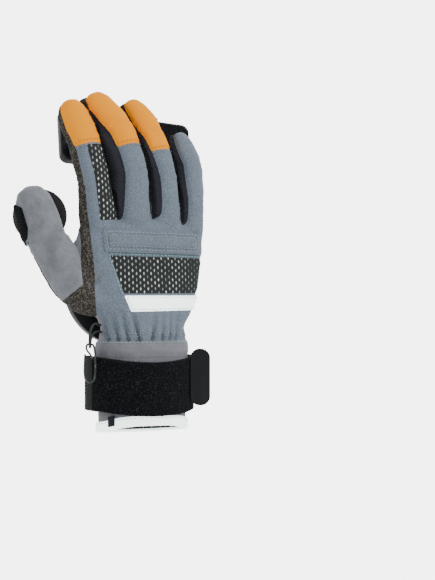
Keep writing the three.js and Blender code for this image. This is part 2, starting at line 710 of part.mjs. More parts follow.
const puckSeat = placement(puckCentre.clone().add(vec(0, GAP, 0)), vec(0, 1, 0), vec(0, 0, 1));
add(
  "palm_puck",
  "plastic",
  solidOf(puckGeometry(PALM_PUCK_DIAMETER, PALM_PUCK_THICKNESS, PUCK_BEVEL).applyMatrix4(puckSeat)),
);
const [padWidth, padHeight, padDrop] = [PALM_PAD.wide, PALM_PAD.high, PALM_PAD.drop].map(
  (share) => share * PALM_PUCK_DIAMETER,
);
const padRoom = roundedPlate(padWidth, padHeight, PALM_FACE, PATCH_CORNER, 0)
  .translate(0, -padDrop, -PALM_FACE)
  .applyMatrix4(placement(puckCentre, vec(0, 1, 0), vec(0, 0, 1)));
add("palm_pad", "loop", solidOf(padRoom).subtract(clear));

// Finger plate, seated on a patch on each finger's pad
const PLATE_TURN = 2; // degrees that the plate faces away from the thumb
const PLATE_TIP = 27; // degrees that its top leans over the palm
const PLATE_ROLL = 6; // degrees that its thumb end stands higher
const HOOK_INSET = { wide: 3, high: 6 }; // how much smaller the hook sheet is than the plate
const plateFace = vec(
  Math.sin(rad(PLATE_TURN)) * Math.cos(rad(PLATE_TIP)),
  Math.cos(rad(PLATE_TURN)) * Math.cos(rad(PLATE_TIP)),
  -Math.sin(rad(PLATE_TIP)),
);
const plateCentre = vec(0.04 * KNUCKLE_WIDTH, 0, CUFF_LENGTH + HAND_LENGTH + 0.5 * FINGER_LENGTH);
const underPlate = [index, middle, ring];
const padPoints = underPlate.flatMap((digit) =>
  digit.stations
    .filter((here) => Math.abs(here.place.z - plateCentre.z) < PLATE_HEIGHT / 2)
    .map((here) => here.place.clone().addScaledVector(here.pad, digit.depth / 2)),
);
const plateSeat = Math.max(...padPoints.map((p) => p.dot(plateFace))) + PATCH;
plateCentre.y = (plateSeat - plateCentre.dot(plateFace)) / plateFace.y;
const rollUp = vec(Math.sin(rad(PLATE_ROLL)), 0, Math.cos(rad(PLATE_ROLL)));
const seatAt = (out) => placement(plateCentre.clone().addScaledVector(plateFace, out), plateFace, rollUp);
add(
  "finger_plate",
  "plastic",
  solidOf(
    roundedPlate(PLATE_WIDTH, PLATE_HEIGHT, PLATE_THICKNESS, PLATE_CORNER, PLATE_BEVEL).applyMatrix4(
      seatAt(GAP + HOOK_SHEET + GAP),
    ),
  ),
);
add(
  "plate_hook",
  "loop",
  solidOf(
    roundedPlate(
      PLATE_WIDTH - HOOK_INSET.wide,
      PLATE_HEIGHT - HOOK_INSET.high,
      HOOK_SHEET,
      PLATE_CORNER,
      0,
    ).applyMatrix4(seatAt(GAP)),
  ),
);
const patchWidth = PATCH_SHARES.wide * FINGER_WIDTH;
const patchHeight = PATCH_SHARES.high * PLATE_HEIGHT;
const patchReach = FINGER_DEPTH / 2; // from the seat down into the finger
for (const digit of underPlate) {
  const nearest = digit.stations.reduce((a, b) =>
    Math.abs(a.place.z - plateCentre.z) < Math.abs(b.place.z - plateCentre.z) ? a : b,
  );
  const across = nearest.place.clone().applyMatrix4(seatAt(0).invert()).x;
  const room = roundedPlate(patchWidth, patchHeight, patchReach, PATCH_CORNER, 0)
    .translate(across, 0, -patchReach)
    .applyMatrix4(seatAt(0));
  add(`${digit.name}_patch`, "loop", solidOf(room).subtract(clear));
}

// Thumb puck on the patch that wraps the thumb
const THUMB_PUCK_ALONG = 0.82; // share of the thumb's length
const THUMB_PUCK_SHIFT = 0.03; // towards the fingers, as a share of the thumb's width
const thumbSeat = stationAt(thumb, THUMB_PUCK_ALONG);
const thumbSeatPlace = thumbSeat.place.clone().addScaledVector(thumbSeat.side, THUMB_PUCK_SHIFT * THUMB_WIDTH);
const thumbFace = thumb.depth / 2 + PANEL + THUMB_PAD.out;
const thumbAt = (out) =>
  placement(thumbSeatPlace.clone().addScaledVector(thumbSeat.pad, out), thumbSeat.pad, thumbSeat.ahead);
const thumbPuck = puckGeometry(THUMB_PUCK_DIAMETER, THUMB_PUCK_THICKNESS, THUMB_PUCK_BEVEL);
add("thumb_puck", "plastic", solidOf(thumbPuck.applyMatrix4(thumbAt(thumbFace + GAP))));
const thumbPadRoom = solidOf(
  roundedPlate(THUMB_PAD.wide * THUMB_WIDTH, THUMB_PAD.high * THUMB_WIDTH, thumbFace, PATCH_CORNER, 0)
    .translate(0, 0, -thumbFace)
    .applyMatrix4(thumbAt(thumbFace)),
);
const wrap = slice(thumb, THUMB_WRAP.from, THUMB_WRAP.to, THUMB_WRAP.left, THUMB_WRAP.right);
const thumbWrap = layer(GAP, GAP + PANEL).intersect(wrap);
add("thumb_patch", "loop", thumbPadRoom.subtract(clear).add(thumbWrap));

// Clip and cord

// A round bar along a path of points, closed at both ends.
function bar(points, diameter, sides, steps) {
  const section = new THREE.Shape(
    Array.from({ length: sides }, (_, k) => {
      const angle = (2 * Math.PI * k) / sides;
      return new THREE.Vector2(Math.cos(angle), Math.sin(angle)).multiplyScalar(diameter / 2);
    }),
  );
  const path = new THREE.CatmullRomCurve3(points, false, "centripetal");
  return new THREE.ExtrudeGeometry(section, { extrudePath: path, steps, bevelEnabled: false });
}

const cordPoints = CORD_ROUTE.map((p) => vec(...p));
add("clip_cord", "cord", solidOf(bar(cordPoints, CORD_DIAMETER, CORD_SIDES, CORD_STEPS)));

// The clip's wire, as shares of its width and length from the middle of its foot: a sprung arm, over the top,
// down the outer side, round the foot and up the other side.
const CLIP_ROUTE = [
  [0.26, 0.62], [-0.02, 0.75], [-0.3, 0.86], [-0.33, 0.95], [-0.2, 1.0], [0, 1.0], [0.28, 0.98], [0.4, 0.9],
  [0.5, 0.6], [0.5, 0.2], [0.36, 0.05], [0, 0], [-0.36, 0.05], [-0.5, 0.2], [-0.5, 0.5], [-0.46, 0.74],
];
const hangPoint = CORD_ROUTE.reduce((low, point) => (point[2] < low[2] ? point : low));
const clipTop = vec(...hangPoint).add(vec(0, 0, (CORD_DIAMETER + CLIP_WIRE) / 2 + 2 * GAP));
const CLIP_SPREAD = rad(-26);
const clipAcross = vec(Math.cos(CLIP_SPREAD), Math.sin(CLIP_SPREAD), 0);
const clipPoints = CLIP_ROUTE.map(([across, up]) =>
  clipTop
    .clone()
    .addScaledVector(clipAcross, across * (CLIP_WIDTH - CLIP_WIRE))
    .add(vec(0, 0, (up - 1) * (CLIP_LENGTH - CLIP_WIRE))),
);
add("clip", "wire", solidOf(bar(clipPoints, CLIP_WIRE, WIRE_SIDES, CLIP_STEPS)));

// The scene graph
const glove = new THREE.Group();
glove.name = "slide_glove";
for (const { name, finish, solid } of nodes) {
  const raw = solid.getMesh();
  const geometry = new THREE.BufferGeometry();
  geometry.setAttribute("position", new THREE.BufferAttribute(raw.vertProperties, raw.numProp));
  geometry.setIndex(new THREE.BufferAttribute(raw.triVerts, 1));
  geometry.computeVertexNormals();
  const mesh = new THREE.Mesh(geometry, new THREE.MeshStandardMaterial(finishes[finish]));
  mesh.name = name;
  glove.add(mesh);
}

export default glove;
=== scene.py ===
"""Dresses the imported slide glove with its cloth, stitches, webbing and hard pads.

The sewn body is rebuilt from the same section tables as the CAD source, joined by a voxel remesh, wrinkled,
and cut along its seams into panels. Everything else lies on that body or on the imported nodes. Metres throughout.
"""

import json
import math
from contextlib import contextmanager

import bpy
import numpy as np
from mathutils import Matrix, Vector, noise
from mathutils.bvhtree import BVHTree


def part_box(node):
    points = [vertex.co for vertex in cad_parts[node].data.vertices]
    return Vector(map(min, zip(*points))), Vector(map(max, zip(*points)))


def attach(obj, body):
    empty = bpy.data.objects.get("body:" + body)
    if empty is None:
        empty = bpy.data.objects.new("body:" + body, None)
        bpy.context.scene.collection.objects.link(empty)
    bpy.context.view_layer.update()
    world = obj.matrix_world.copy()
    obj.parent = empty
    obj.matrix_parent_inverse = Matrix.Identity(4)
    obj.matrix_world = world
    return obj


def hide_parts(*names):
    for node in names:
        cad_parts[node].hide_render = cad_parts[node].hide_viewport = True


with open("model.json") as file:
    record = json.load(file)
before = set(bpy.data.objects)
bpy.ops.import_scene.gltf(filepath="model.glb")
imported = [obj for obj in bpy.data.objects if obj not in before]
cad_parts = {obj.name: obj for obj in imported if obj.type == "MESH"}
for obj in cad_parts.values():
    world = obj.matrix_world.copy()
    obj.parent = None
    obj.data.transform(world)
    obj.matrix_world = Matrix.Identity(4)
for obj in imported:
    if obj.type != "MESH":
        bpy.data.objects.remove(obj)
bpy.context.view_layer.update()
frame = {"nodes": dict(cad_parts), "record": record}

bl_info = {
    "name": "Slide glove",
    "version": (1, 0, 0),
    "blender": (4, 5, 0),
    "location": "3D View > Sidebar > Glove",
    "description": "Builds a sewn slide glove round its packed frame",
    "category": "Object",
}

MM = 0.001
UP = Vector((0, 0, 1))


def table(columns, *rows):
    """Rows of values as dictionaries with these columns."""
    return [dict(zip(columns.split(), row)) for row in rows]


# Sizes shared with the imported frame
CUFF_LENGTH = 74 * MM
CUFF_WIDTH = 74 * MM
CUFF_DEPTH = 54 * MM
WRIST_WIDTH = 66 * MM
WRIST_DEPTH = 50 * MM
HAND_LENGTH = 86 * MM
KNUCKLE_WIDTH = 98 * MM
KNUCKLE_DEPTH = 34 * MM
HEM_TILT = 6
FINGER_LENGTH = 123 * MM
FINGER_WIDTH = 25.5 * MM
FINGER_DEPTH = 25 * MM
THUMB_LENGTH = 140 * MM
THUMB_WIDTH = 29.5 * MM
THUMB_DEPTH = 27 * MM
BAND_HEIGHT = 13 * MM
BINDING_HEIGHT = 5.5 * MM
BINDING_THICKNESS = 1.6 * MM
STRAP_HEIGHT = 41 * MM
STRAP_BOTTOM = 12.5 * MM
STRAP_WIDTH = 86 * MM
STRAP_DEPTH = 62 * MM
STRAP_SAG = 4.5 * MM
STRAP_SHIFT = 0.03 * CUFF_WIDTH
TAB_REACH = 15 * MM
TAB_HEIGHT = 43 * MM
TAB_THICKNESS = 3.6 * MM
GAP = 0.3 * MM
CORD_DIAMETER = 1.8 * MM
CLIP_WIRE = 1.6 * MM
CLIP_LENGTH = 30 * MM
CLIP_WIDTH = 9.5 * MM
PLATE_WIDTH = 107 * MM
PLATE_HEIGHT = 46 * MM
PLATE_THICKNESS = 8 * MM
PLATE_ROLL = 6
HOOK_WIDTH = 104 * MM
HOOK_HEIGHT = 40 * MM
HOOK_THICKNESS = 1.6 * MM
THUMB_PUCK_WIDTH = 41 * MM
PUCKS = [("palm_puck", 13 * MM, 6 * MM), ("thumb_puck", 9 * MM, 5.4 * MM)]  # thickness and bevel

# Sizes of the scene's own forms
HEM_ARCH = 2.5 * MM
HEM_ARCH_SPAN = (0.1 * CUFF_DEPTH, 0.44 * CUFF_DEPTH)
HEM_START = -14 * MM  # the body begins here and is cut off at the hem
LINING_DEPTH = 2.4 * MM
LINING_ROWS = 40
WEBBING_ARC = (-19, 196.1)
LOOP_ARC = (194, 341.1)
PULL_TAB_ANGLE = -38
SUNK = 0.28  # how deep a slab's face lies inside its rim, as a share of its thickness
RIM_DROP = 0.8  # how far a puck's rim falls away, as a share of its bevel's width
THUMB_PATCH_FROM = 0.69
PAD_CORNER = (14 * MM, 24 * MM)
PAD_RIM = 2.2 * MM
PAD_RANGE = (2.5 * MM, 8 * MM)

# The photograph's view
CAMERA_AZIMUTH = -26
VIEW_TURN = math.radians(CAMERA_AZIMUTH)
VIEW_RIGHT = Vector((math.cos(VIEW_TURN), math.sin(VIEW_TURN), 0))
VIEW_BACK = Vector((math.sin(VIEW_TURN), -math.cos(VIEW_TURN), 0))
CAMERA_DISTANCE = 1.6
LENS = 130.7
FRAME_CENTRE = (57.4 * MM, 104.9 * MM)  # across the view and up, from the cuff's centre
FLOOR_HEIGHT = -0.4
FLOOR_SIZE = 2.2
BACKDROP_DISTANCE = 10
BACKDROP_SIZE = 5
BACKDROP_GLOW = 4.5
SURROUND_STRENGTH = 1.25
LIGHT_AIM = Vector((0.02, 0, 0.12))
LIGHTS = table(
    "name place size power",
    ("key", (1.0, -0.9, 1.3), 0.7, 22),
    ("fill", (-1.3, -1.0, 0.4), 1.2, 6),
    ("rim", (0.9, 0.9, 0.9), 0.8, 12),
)

# Mesh fineness
VOXEL = 1.15 * MM
DIGIT_RINGS = 90
DIGIT_SIDES = 56
HAND_RINGS = 90
HAND_SIDES = 120
STATIONS = 200
SMOOTH_ROUNDS = 8
PATCH_VOXEL = 0.7 * MM
PATCH_SMOOTH_ROUNDS = 5
CORNER_STEPS = 4
WIRE_STEPS = 4
THREAD_SIDES = 6
LINE_POINTS = {"ring": 24, "run": 30, "wrist": 120}
OVAL = 1.6  # how much a direction out of the wrist's oval turns to the back and the palm
STITCH_PITCH = 1.45  # from stitch to stitch, in stitch lengths

# A stitch as rings: (share of its length, share of the thread's radius, rise in radii). The first lies on the
# sewn body and the second on a strap or a binding.
BODY_THREAD = ((-0.5, 0.35, -0.05), (-0.36, 0.95, 0.5), (0.0, 1.05, 0.82), (0.36, 0.95, 0.5), (0.5, 0.35, -0.05))
EDGE_THREAD = ((-0.5, 0.35, -0.4), (-0.34, 1, 0.2), (0.34, 1, 0.2), (0.5, 0.35, -0.4))

# Sections of the body. up and along are shares of the part's length, the others of its width or depth, and
# square is the outline's power: 2 is an oval.
CUFF_ROWS = table(
    "up wide back palm",
    (-0.3, 0.93, 0.94, 0.94),
    (0.1, 0.93, 0.94, 0.94),
    (0.74, 1.0, 1.0, 1.0),
    (0.9, 0.98, 0.97, 0.97),
)
HAND_ROWS = table(
    "up wide back palm side lift square",
    (0.16, 0.8, 1.18, 1.36, 0.01, 0.04, 2.1),
    (0.34, 0.92, 1.08, 1.28, 0.01, 0.08, 2.2),
    (0.55, 1.0, 1.0, 1.18, 0.005, 0.1, 2.3),
    (0.76, 1.04, 0.93, 1.02, 0.0, 0.12, 2.4),
    (0.9, 1.0, 0.78, 0.84, 0.0, 0.13, 2.3),
    (0.98, 0.86, 0.5, 0.56, 0.0, 0.14, 2.2),
)
FINGER_BENDS = [(0.36, 0.52), (0.62, 0.8)]
THUMB_BENDS = [(0.22, 0.42), (0.56, 0.8)]
FINGER_ROWS = table(
    "along wide deep",
    (0.0, 0.8, 0.72),
    (0.12, 1.02, 1.0),
    (0.42, 0.98, 1.01),
    (0.66, 0.97, 0.98),
    (0.84, 0.93, 0.92),
    (0.94, 0.74, 0.72),
    (0.985, 0.42, 0.4),
    (1.0, 0.1, 0.1),
)
THUMB_ROWS = table(
    "along wide deep",
    (0.0, 0.7, 0.9),
    (0.13, 0.8, 1.15),
    (0.28, 1.06, 1.3),
    (0.42, 1.12, 1.2),
    (0.6, 1.06, 1.04),
    (0.84, 1.02, 0.98),
    (0.945, 0.78, 0.76),
    (0.985, 0.46, 0.44),
    (1.0, 0.1, 0.1),
)
FINGERS = table(
    "name across up lift long wide turn lean curl",
    ("index", -0.325, 0.72, 0.12, 0.985, 1.02, 8, (5.5, 6, 4), (4, 13, 14)),
    ("middle", -0.062, 0.74, 0.1, 1.045, 1.08, 2, (0, 12.5, 17.5), (4, 13, 14)),
    ("ring", 0.2, 0.72, 0.11, 1.015, 0.96, -5, (-1, 9, 9.5), (4, 14, 15)),
    ("little", 0.4, 0.64, 0.12, 0.837, 0.84, -16, (-7, 0, 6.5), (3, 12, 15)),
)
THUMB = {"name": "thumb", "across": -0.12, "up": 0.14, "lift": 0.2, "long": 0.925, "wide": 1.0, "turn": 26,
         "lean": (64, -30, -13), "curl": (2, 3, 3)}

# Seams round a digit in degrees: 0 faces away from the thumb, 90 is the pad, 180 the thumb's side, 270 the back.
# Each back seam is a list of (place along, degrees), on the side towards the thumb.
BACK_SEAM = {
    "index": [(0.0, 214), (0.3, 213), (0.5, 216), (0.62, 220), (0.75, 205), (1.0, 204)],
    "middle": [(0.1, 222), (0.3, 227), (0.55, 233), (0.72, 221), (1.0, 214)],
    "ring": [(0.1, 243), (0.35, 238), (0.58, 231), (0.75, 212), (1.0, 205)],
    "little": [(0.1, 228), (0.35, 222), (0.6, 206), (0.8, 200), (1.0, 196)],
}
OUTER_SEAM = 336
PAD_SEAM = (35, 142)
CAP_FROM = {"index": 0.645, "middle": 0.59, "ring": 0.597}
WEB_FROM = {"index": 0.2, "middle": 0.14, "ring": 0.18, "little": 0.22}
INDEX_MESH = {"start": 0.17, "end": 0.635, "left": 262, "right": 345}
KNIT_SWELL = {"index_outer_side": 2.4 * MM, "middle_inner_side": 3.6 * MM, "middle_outer_side": 1.0 * MM,
              "ring_inner_side": 1.6 * MM, "ring_outer_side": 0.8 * MM, "little_inner_side": 1.6 * MM}
SIDE_SEAM = 0.12
TO_TIP = 2  # an end that takes in a digit's whole tip
THUMB_COLLAR = 0.3
THUMB_STRIP = {"start": THUMB_COLLAR, "end": 0.62, "left": 140, "right": 190}
THUMB_FRONT = {"start": THUMB_COLLAR, "end": TO_TIP, "left": -8, "right": 190}
THUMB_BACK = {"start": THUMB_COLLAR, "end": TO_TIP, "left": 190, "right": 352}
THUMB_WRAP_PAD = {"start": 0.68, "end": 0.86, "left": 80, "right": 180}
THUMB_DARK_SEAM = {"start": 0.62, "end": 0.34, "angle": 197}
LITTLE_STRIP = {"start": 0.02, "end": TO_TIP, "left": 0, "right": 40}
CAP_RIGHT = 352
COLLAR_TOP = 0.38
PALM_TOP = 0.95
SIDE_ROUNDING = 3.5 * MM

# Panels on the back, as corners (across, up): shares of the knuckles' width and the hand's length.
KNUCKLE_PAD = [(-0.35, 0.69), (0.46, 0.67), (0.47, 0.87), (-0.36, 0.89)]
BACK_MESH = [(-0.21, 0.33), (0.8, 0.33), (0.8, 0.63), (-0.31, 0.66)]
REFLECTIVE = [(-0.16, 0.17), (0.8, 0.19), (0.8, 0.31), (-0.21, 0.31)]
HEM_TAB = {"left": 206, "right": 216, "low": 0.5 * MM, "high": 8.5 * MM}

# The knuckle pad's rise from its edge, and the groove of its stitches, at distances in from the edge.
CROWN = {"base": 0.7 * MM, "rise": 1.5 * MM, "from": 0.4 * MM, "to": 6 * MM}
GROOVE = {"depth": 0.6 * MM, "at": 3.4 * MM, "width": 0.9 * MM}

# Seams on the thumb's side, as corners in millimetres across the photograph's view and up from the cuff.
SIDE_STRIP = [(-43.7, 184.7), (-41.8, 163.4), (-39.5, 149), (-37.2, 131.5), (-36.1, 116.3), (-35, 97.3),
              (-34.6, 85.1), (-40.3, 81), (-52, 84), (-68, 90), (-44.5, 109.4), (-46, 126.2), (-47.1, 142.9),
              (-48, 154.3), (-52, 169.5), (-54, 184.7)]
THUMB_ROOT = [(-62.3, 149), (-53.2, 149), (-47.9, 146), (-47.1, 142.9), (-46, 126.2), (-44.5, 109.4), (-58, 98.8),
              (-70, 111.7), (-77.5, 126.2)]
WRIST_SUEDE = [(-42, 84), (-34.2, 85.5), (-31.9, 82.1), (-29.3, 74.5), (-30.4, 62), (-45, 62)]
THUMB_WRAP = [(-101, 171), (-95, 169.1), (-91.2, 167.2), (-88.9, 159.6), (-86.6, 152), (-87, 144.4), (-88.9, 140.6),
              (-92, 142.1), (-101, 152)]

# How far to the palm the panels drawn on the view reach
STRIP_LIMIT = 14 * MM
COLLAR_LIMIT = 24 * MM
ROOT_LIMIT = 10 * MM
SUEDE_LIMIT = 8 * MM

# The deep folds of the wrist's elastic. across: millimetres across the view at the elastic. lean, reach: how far
# each fold runs sideways and up. depth: share of the gathers' depth.
GATHERS = table(
    "across lean reach depth",
    (-25.3, -5, 19, 0.9),
    (-17.7, -5, 21, 1.0),
    (-10.1, -6, 22, 1.0),
    (-1.5, -8, 27, 1.1),
    (8.4, 2, 24, 1.0),
    (16.0, 0, 20, 0.8),
    (21.3, 1, 28, 0.7),
    (25.8, 2, 30, 0.7),
)

# The cord's points in millimetres, the one that the clip hangs from, and the clip's points as shares of its width
# and length.
CORD_ROUTE = [
    (-35.2, -2.5, 78.4), (-38.6, -4.4, 79.5), (-43.1, -8.5, 79.2), (-46.9, -12.7, 76), (-49.5, -16.2, 71.5),
    (-50.1, -17.1, 66), (-49.5, -16, 63.2), (-48.4, -13.8, 62.2), (-47.3, -11.5, 63.2), (-46.6, -10.5, 66),
    (-45.1, -9.4, 70), (-42.5, -7.7, 72.8), (-38.2, -4.6, 73.7), (-34.3, -1.6, 73.3),
]
HANG_POINT = 7
CLIP_ROUTE = [
    (0.26, 0.62), (-0.02, 0.75), (-0.3, 0.86), (-0.33, 0.95), (-0.2, 1.0), (0, 1.0), (0.28, 0.98), (0.4, 0.9),
    (0.5, 0.6), (0.5, 0.2), (0.36, 0.05), (0, 0), (-0.36, 0.05), (-0.5, 0.2), (-0.5, 0.5), (-0.46, 0.74),
]


def size_setting(name, description, millimetres):
    """A length that a user can set."""
    return bpy.props.FloatProperty(name=name, description=description, default=millimetres * MM, unit="LENGTH")


def colour_setting(name, description, colour):
    """A colour that a user can set."""
    return bpy.props.FloatVectorProperty(name=name, description=description, default=colour, subtype="COLOR")


class GloveSizes(bpy.types.PropertyGroup):
    """The sizes of the sewing that a user would change."""

    cloth: size_setting("Cloth", "Thickness of a sewn panel", 1.5)
    seam: size_setting("Seam depth", "How far a panel's edge dips into its seam", 0.75)
    gather: size_setting("Gathers", "Depth of the elastic's gathers", 4.0)
    crease: size_setting("Creases", "Depth of the creases behind the finger joints", 1.0)
    stitch: size_setting("Stitch", "Length of one stitch", 2.1)
    thread: size_setting("Thread", "Thickness of the thread", 0.45)


class GloveColours(bpy.types.PropertyGroup):
    """The colours of the cloths and threads."""

    fabric: colour_setting("Fabric", "Stretch cloth of the back", (0.1, 0.124, 0.154))
    suede: colour_setting("Suede", "Palm, thumb and cuff band", (0.125, 0.125, 0.143))
    thumb_suede: colour_setting("Thumb suede", "Back of the thumb", (0.118, 0.127, 0.143))
    twill: colour_setting("Twill", "Finger caps", (0.84, 0.29, 0.001))
    pale_thread: colour_setting("Pale thread", "Stitches on the grey cloth", (0.26, 0.3, 0.3))
    teal_thread: colour_setting("Teal thread", "Stitches round the mesh and cuff", (0.2, 0.5, 0.47))
    binding: colour_setting("Binding", "Cuff binding and reflective strip", (0.82, 0.86, 0.86))


# Shader maths


class Wire:
    """An output socket that Python arithmetic works on."""

    def __init__(self, finish, socket):
        self.finish = finish
        self.socket = socket

    def _math(self, operation, first, second):
        return self.finish.node("ShaderNodeMath", {"operation": operation}, {0: first, 1: second})

    def __add__(self, other):
        return self._math("ADD", self, other)

    def __sub__(self, other):
        return self._math("SUBTRACT", self, other)

    def __rsub__(self, other):
        return self._math("SUBTRACT", other, self)

    def __mul__(self, other):
        return self._math("MULTIPLY", self, other)

    def __truediv__(self, other):
        return self._math("DIVIDE", self, other)

    __radd__ = __add__
    __rmul__ = __mul__


class Finish:
    """One material, with its nodes made by the node method."""

    def __init__(self, name, **constants):
        self.material = bpy.data.materials.new(name)
        self.material.use_nodes = True
        self.tree = self.material.node_tree
        self.shader = self.tree.nodes["Principled BSDF"]
        for socket, value in constants.items():
            self.set(socket.replace("_", " "), value)

    def node(self, kind, settings=None, inputs=None, output=0):
        """A node of any type: its settings first, then the values or wires of its sockets."""
        made = self.tree.nodes.new(kind)
        for name, value in (settings or {}).items():
            setattr(made, name, value)
        for key, value in (inputs or {}).items():
            self._feed(made.inputs[key], value)
        return Wire(self, made.outputs[output])

    def _feed(self, socket, value):
        if isinstance(value, Wire):
            self.tree.links.new(value.socket, socket)
        elif hasattr(value, "__len__") and len(value) == 3 and socket.type == "RGBA":
            socket.default_value = (*value, 1)
        else:
            socket.default_value = value

    def set(self, socket, value):
        self._feed(self.shader.inputs[socket], value)

    def place(self, scale=(1, 1, 1), turn=(0, 0, 0)):
        """Object coordinates, scaled and turned by a Mapping node."""
        coordinates = self.node("ShaderNodeTexCoord", output="Object")
        return self.node("ShaderNodeMapping", {}, {"Vector": coordinates, "Scale": scale, "Rotation": turn})

    def noise(self, scale, detail=3, roughness=0.6, vector=None):
        """Noise from 0 to 1."""
        inputs = {"Vector": vector or self.place(), "Scale": scale, "Detail": detail, "Roughness": roughness}
        return self.node("ShaderNodeTexNoise", {}, inputs, "Fac")

    def wave(self, vector, scale, distortion=0.0, direction="X"):
        """Bands from 0 to 1."""
        inputs = {"Vector": vector, "Scale": scale, "Distortion": distortion, "Detail": 1.0, "Detail Scale": 2.0}
        settings = {"wave_type": "BANDS", "bands_direction": direction, "wave_profile": "SIN"}
        return self.node("ShaderNodeTexWave", settings, inputs, "Fac")

    def mix(self, factor, first, second):
        """A blend of two colours."""
        inputs = {0: factor, 6: first, 7: second}
        return self.node("ShaderNodeMix", {"data_type": "RGBA"}, inputs, 2)

    def ramp(self, factor, low, high):
        """0 below low and 1 above high."""
        return self.node("ShaderNodeMapRange", {"clamp": True, "interpolation_type": "SMOOTHSTEP"},
                         {"Value": factor, "From Min": low, "From Max": high})

    def done(self, colour, height, distance, strength):
        """Feeds the colour, and the normal from a height from 0 to 1, and gives the material."""
        self.set("Base Color", colour)
        self.set("Normal", self.node("ShaderNodeBump", {}, {"Height": height, "Distance": distance,
                                                            "Strength": strength}))
        return self.material


def darker(colour, share):
    """A colour scaled towards black, or brighter where share is over 1."""
    return tuple(min(1.0, c * share) for c in colour)


def stretch_cloth(colour):
    """Blue-grey woven stretch cloth with a faint heather and fine diagonal weave."""
    made = Finish("stretch_cloth", Roughness=0.92, Sheen_Weight=0.1, Sheen_Roughness=0.5,
                  Specular_IOR_Level=0.25)
    patches = made.noise(55.0, 4, 0.65)
    heather = made.noise(900.0, 2, 0.7)
    shade = made.mix(patches, darker(colour, 0.76), darker(colour, 1.1))
    slant = made.place(turn=(0, math.radians(38), 0))
    weave = made.wave(slant, 620.0, 0.4) * 0.55 + made.wave(slant, 620.0, 0.4, "Z") * 0.45
    return made.done(made.mix(made.ramp(heather, 0.4, 0.65) * 0.6, shade, darker(colour, 1.6)),
                     weave * 0.8 + patches * 0.6, 0.12 * MM, 0.7)


def cap_twill(colour):
    """Orange twill with fine slanting ribs."""
    made = Finish("cap_twill", Roughness=0.9, Specular_IOR_Level=0.08)
    slant = made.place(turn=(0, math.radians(-32), 0))
    ribs = made.wave(slant, 250.0, 0.5)
    crossing = made.wave(slant, 290.0, 0.5, "Z")
    patches = made.noise(70.0, 3)
    weave = ribs * 0.5 + crossing * 0.5
    shade = made.mix(patches, darker(colour, 0.9), darker(colour, 1.08))
    return made.done(made.mix(made.ramp(weave, 0.05, 0.65), darker(colour, 0.72), shade), weave, 0.2 * MM, 0.8)


def ribbed_knit():
    """Near-black stretch knit with slanting ribs."""
    made = Finish("ribbed_knit", Roughness=0.86, Sheen_Weight=0.08, Sheen_Roughness=0.4, Specular_IOR_Level=0.15)
    slant = made.place(turn=(0, math.radians(58), 0))
    ribs = made.wave(slant, 200.0, 0.5)
    fuzz = made.noise(900.0, 2)
    base = made.mix(made.ramp(ribs, 0.2, 0.9), (0.0035, 0.0037, 0.0055), (0.019, 0.02, 0.028))
    return made.done(made.mix(fuzz * 0.25, base, (0.04, 0.042, 0.052)), ribs * 0.9 + fuzz * 0.2, 0.35 * MM, 0.9)


def speckled_weave():
    """Dark brown-grey weave with pale flecks, for the strips that take the wear."""
    made = Finish("speckled_weave", Roughness=0.85, Specular_IOR_Level=0.15)
    cells = made.node("ShaderNodeTexVoronoi", {"feature": "F1"},
                      {"Vector": made.place(), "Scale": 1250.0, "Randomness": 1.0}, "Color")
    pick = made.node("ShaderNodeSeparateColor", {}, {0: cells}, 0)
    clumps = made.noise(760.0, 3, 0.7)
    fleck = made.ramp(pick * 0.9 + clumps * 0.25, 0.6, 0.85)
    base = made.mix(clumps, (0.010, 0.009, 0.008), (0.03, 0.027, 0.024))
    return made.done(made.mix(fleck * 0.7, base, (0.115, 0.106, 0.09)), fleck * 0.5 + clumps * 0.8, 0.3 * MM, 0.9)


def open_mesh():
    """Black mesh with pale cloth showing in tall slots, set like bricks; the cloth in the slots carries painted
    light and shade.
    """
    made = Finish("open_mesh", Roughness=0.75, Specular_IOR_Level=0.18)
    place = made.place()
    across = made.node("ShaderNodeSeparateXYZ", {}, {0: place}, 0)
    up = made.node("ShaderNodeSeparateXYZ", {}, {0: place}, 2)
    column = across / (3.0 * MM)
    half = made.node("ShaderNodeMath", {"operation": "PINGPONG"}, {0: column, 1: 0.5})
    odd = made.node("ShaderNodeMath", {"operation": "MODULO"},
                    {0: made.node("ShaderNodeMath", {"operation": "FLOOR"}, {0: column + 1000.0}), 1: 2.0})
    row = up / (4.6 * MM) + odd * 0.5
    rise = made.node("ShaderNodeMath", {"operation": "PINGPONG"}, {0: row, 1: 0.5})
    hole = made.ramp(rise * 0.8 + half * 1.0, 0.6, 0.72) * made.ramp(half, 0.24, 0.36)
    # Painted light and shade: the pale cloth behind the slots is painted lit, or shaded to (0.045, 0.05, 0.05), in
    # random patches, and painted darker towards +x, where it is seen at a grazing angle.
    wear_and_painted_light = made.noise(180.0, 3)
    lit = made.ramp(wear_and_painted_light, 0.3, 0.7) * (1 - made.ramp(across, 14 * MM, 46 * MM) * 0.85)
    behind = made.mix(lit, (0.045, 0.05, 0.05), (0.66, 0.68, 0.66))
    threads = made.wave(place, 900.0, 0.3) * 0.5
    return made.done(made.mix(hole, made.mix(threads, (0.006, 0.008, 0.008), (0.035, 0.042, 0.04)), behind),
                     (1 - hole) * 0.9 + threads * 0.2, 0.5 * MM, 0.9)


def napped_suede(colour, name="napped_suede", mottle=0.18):
    """Synthetic suede with a soft uneven nap."""
    made = Finish(name, Roughness=0.95, Sheen_Weight=0.2, Sheen_Roughness=0.6, Specular_IOR_Level=0.2)
    patches = made.noise(90.0, 5, 0.7)
    nap = made.noise(2200.0, 2, 0.6)
    shade = made.mix(made.ramp(patches, 0.3, 0.7), darker(colour, 1 - mottle), darker(colour, 1 + mottle))
    return made.done(made.mix(nap * 0.3, shade, darker(colour, 1.4)), patches * 0.5 + nap * 0.6, 0.2 * MM, 0.8)


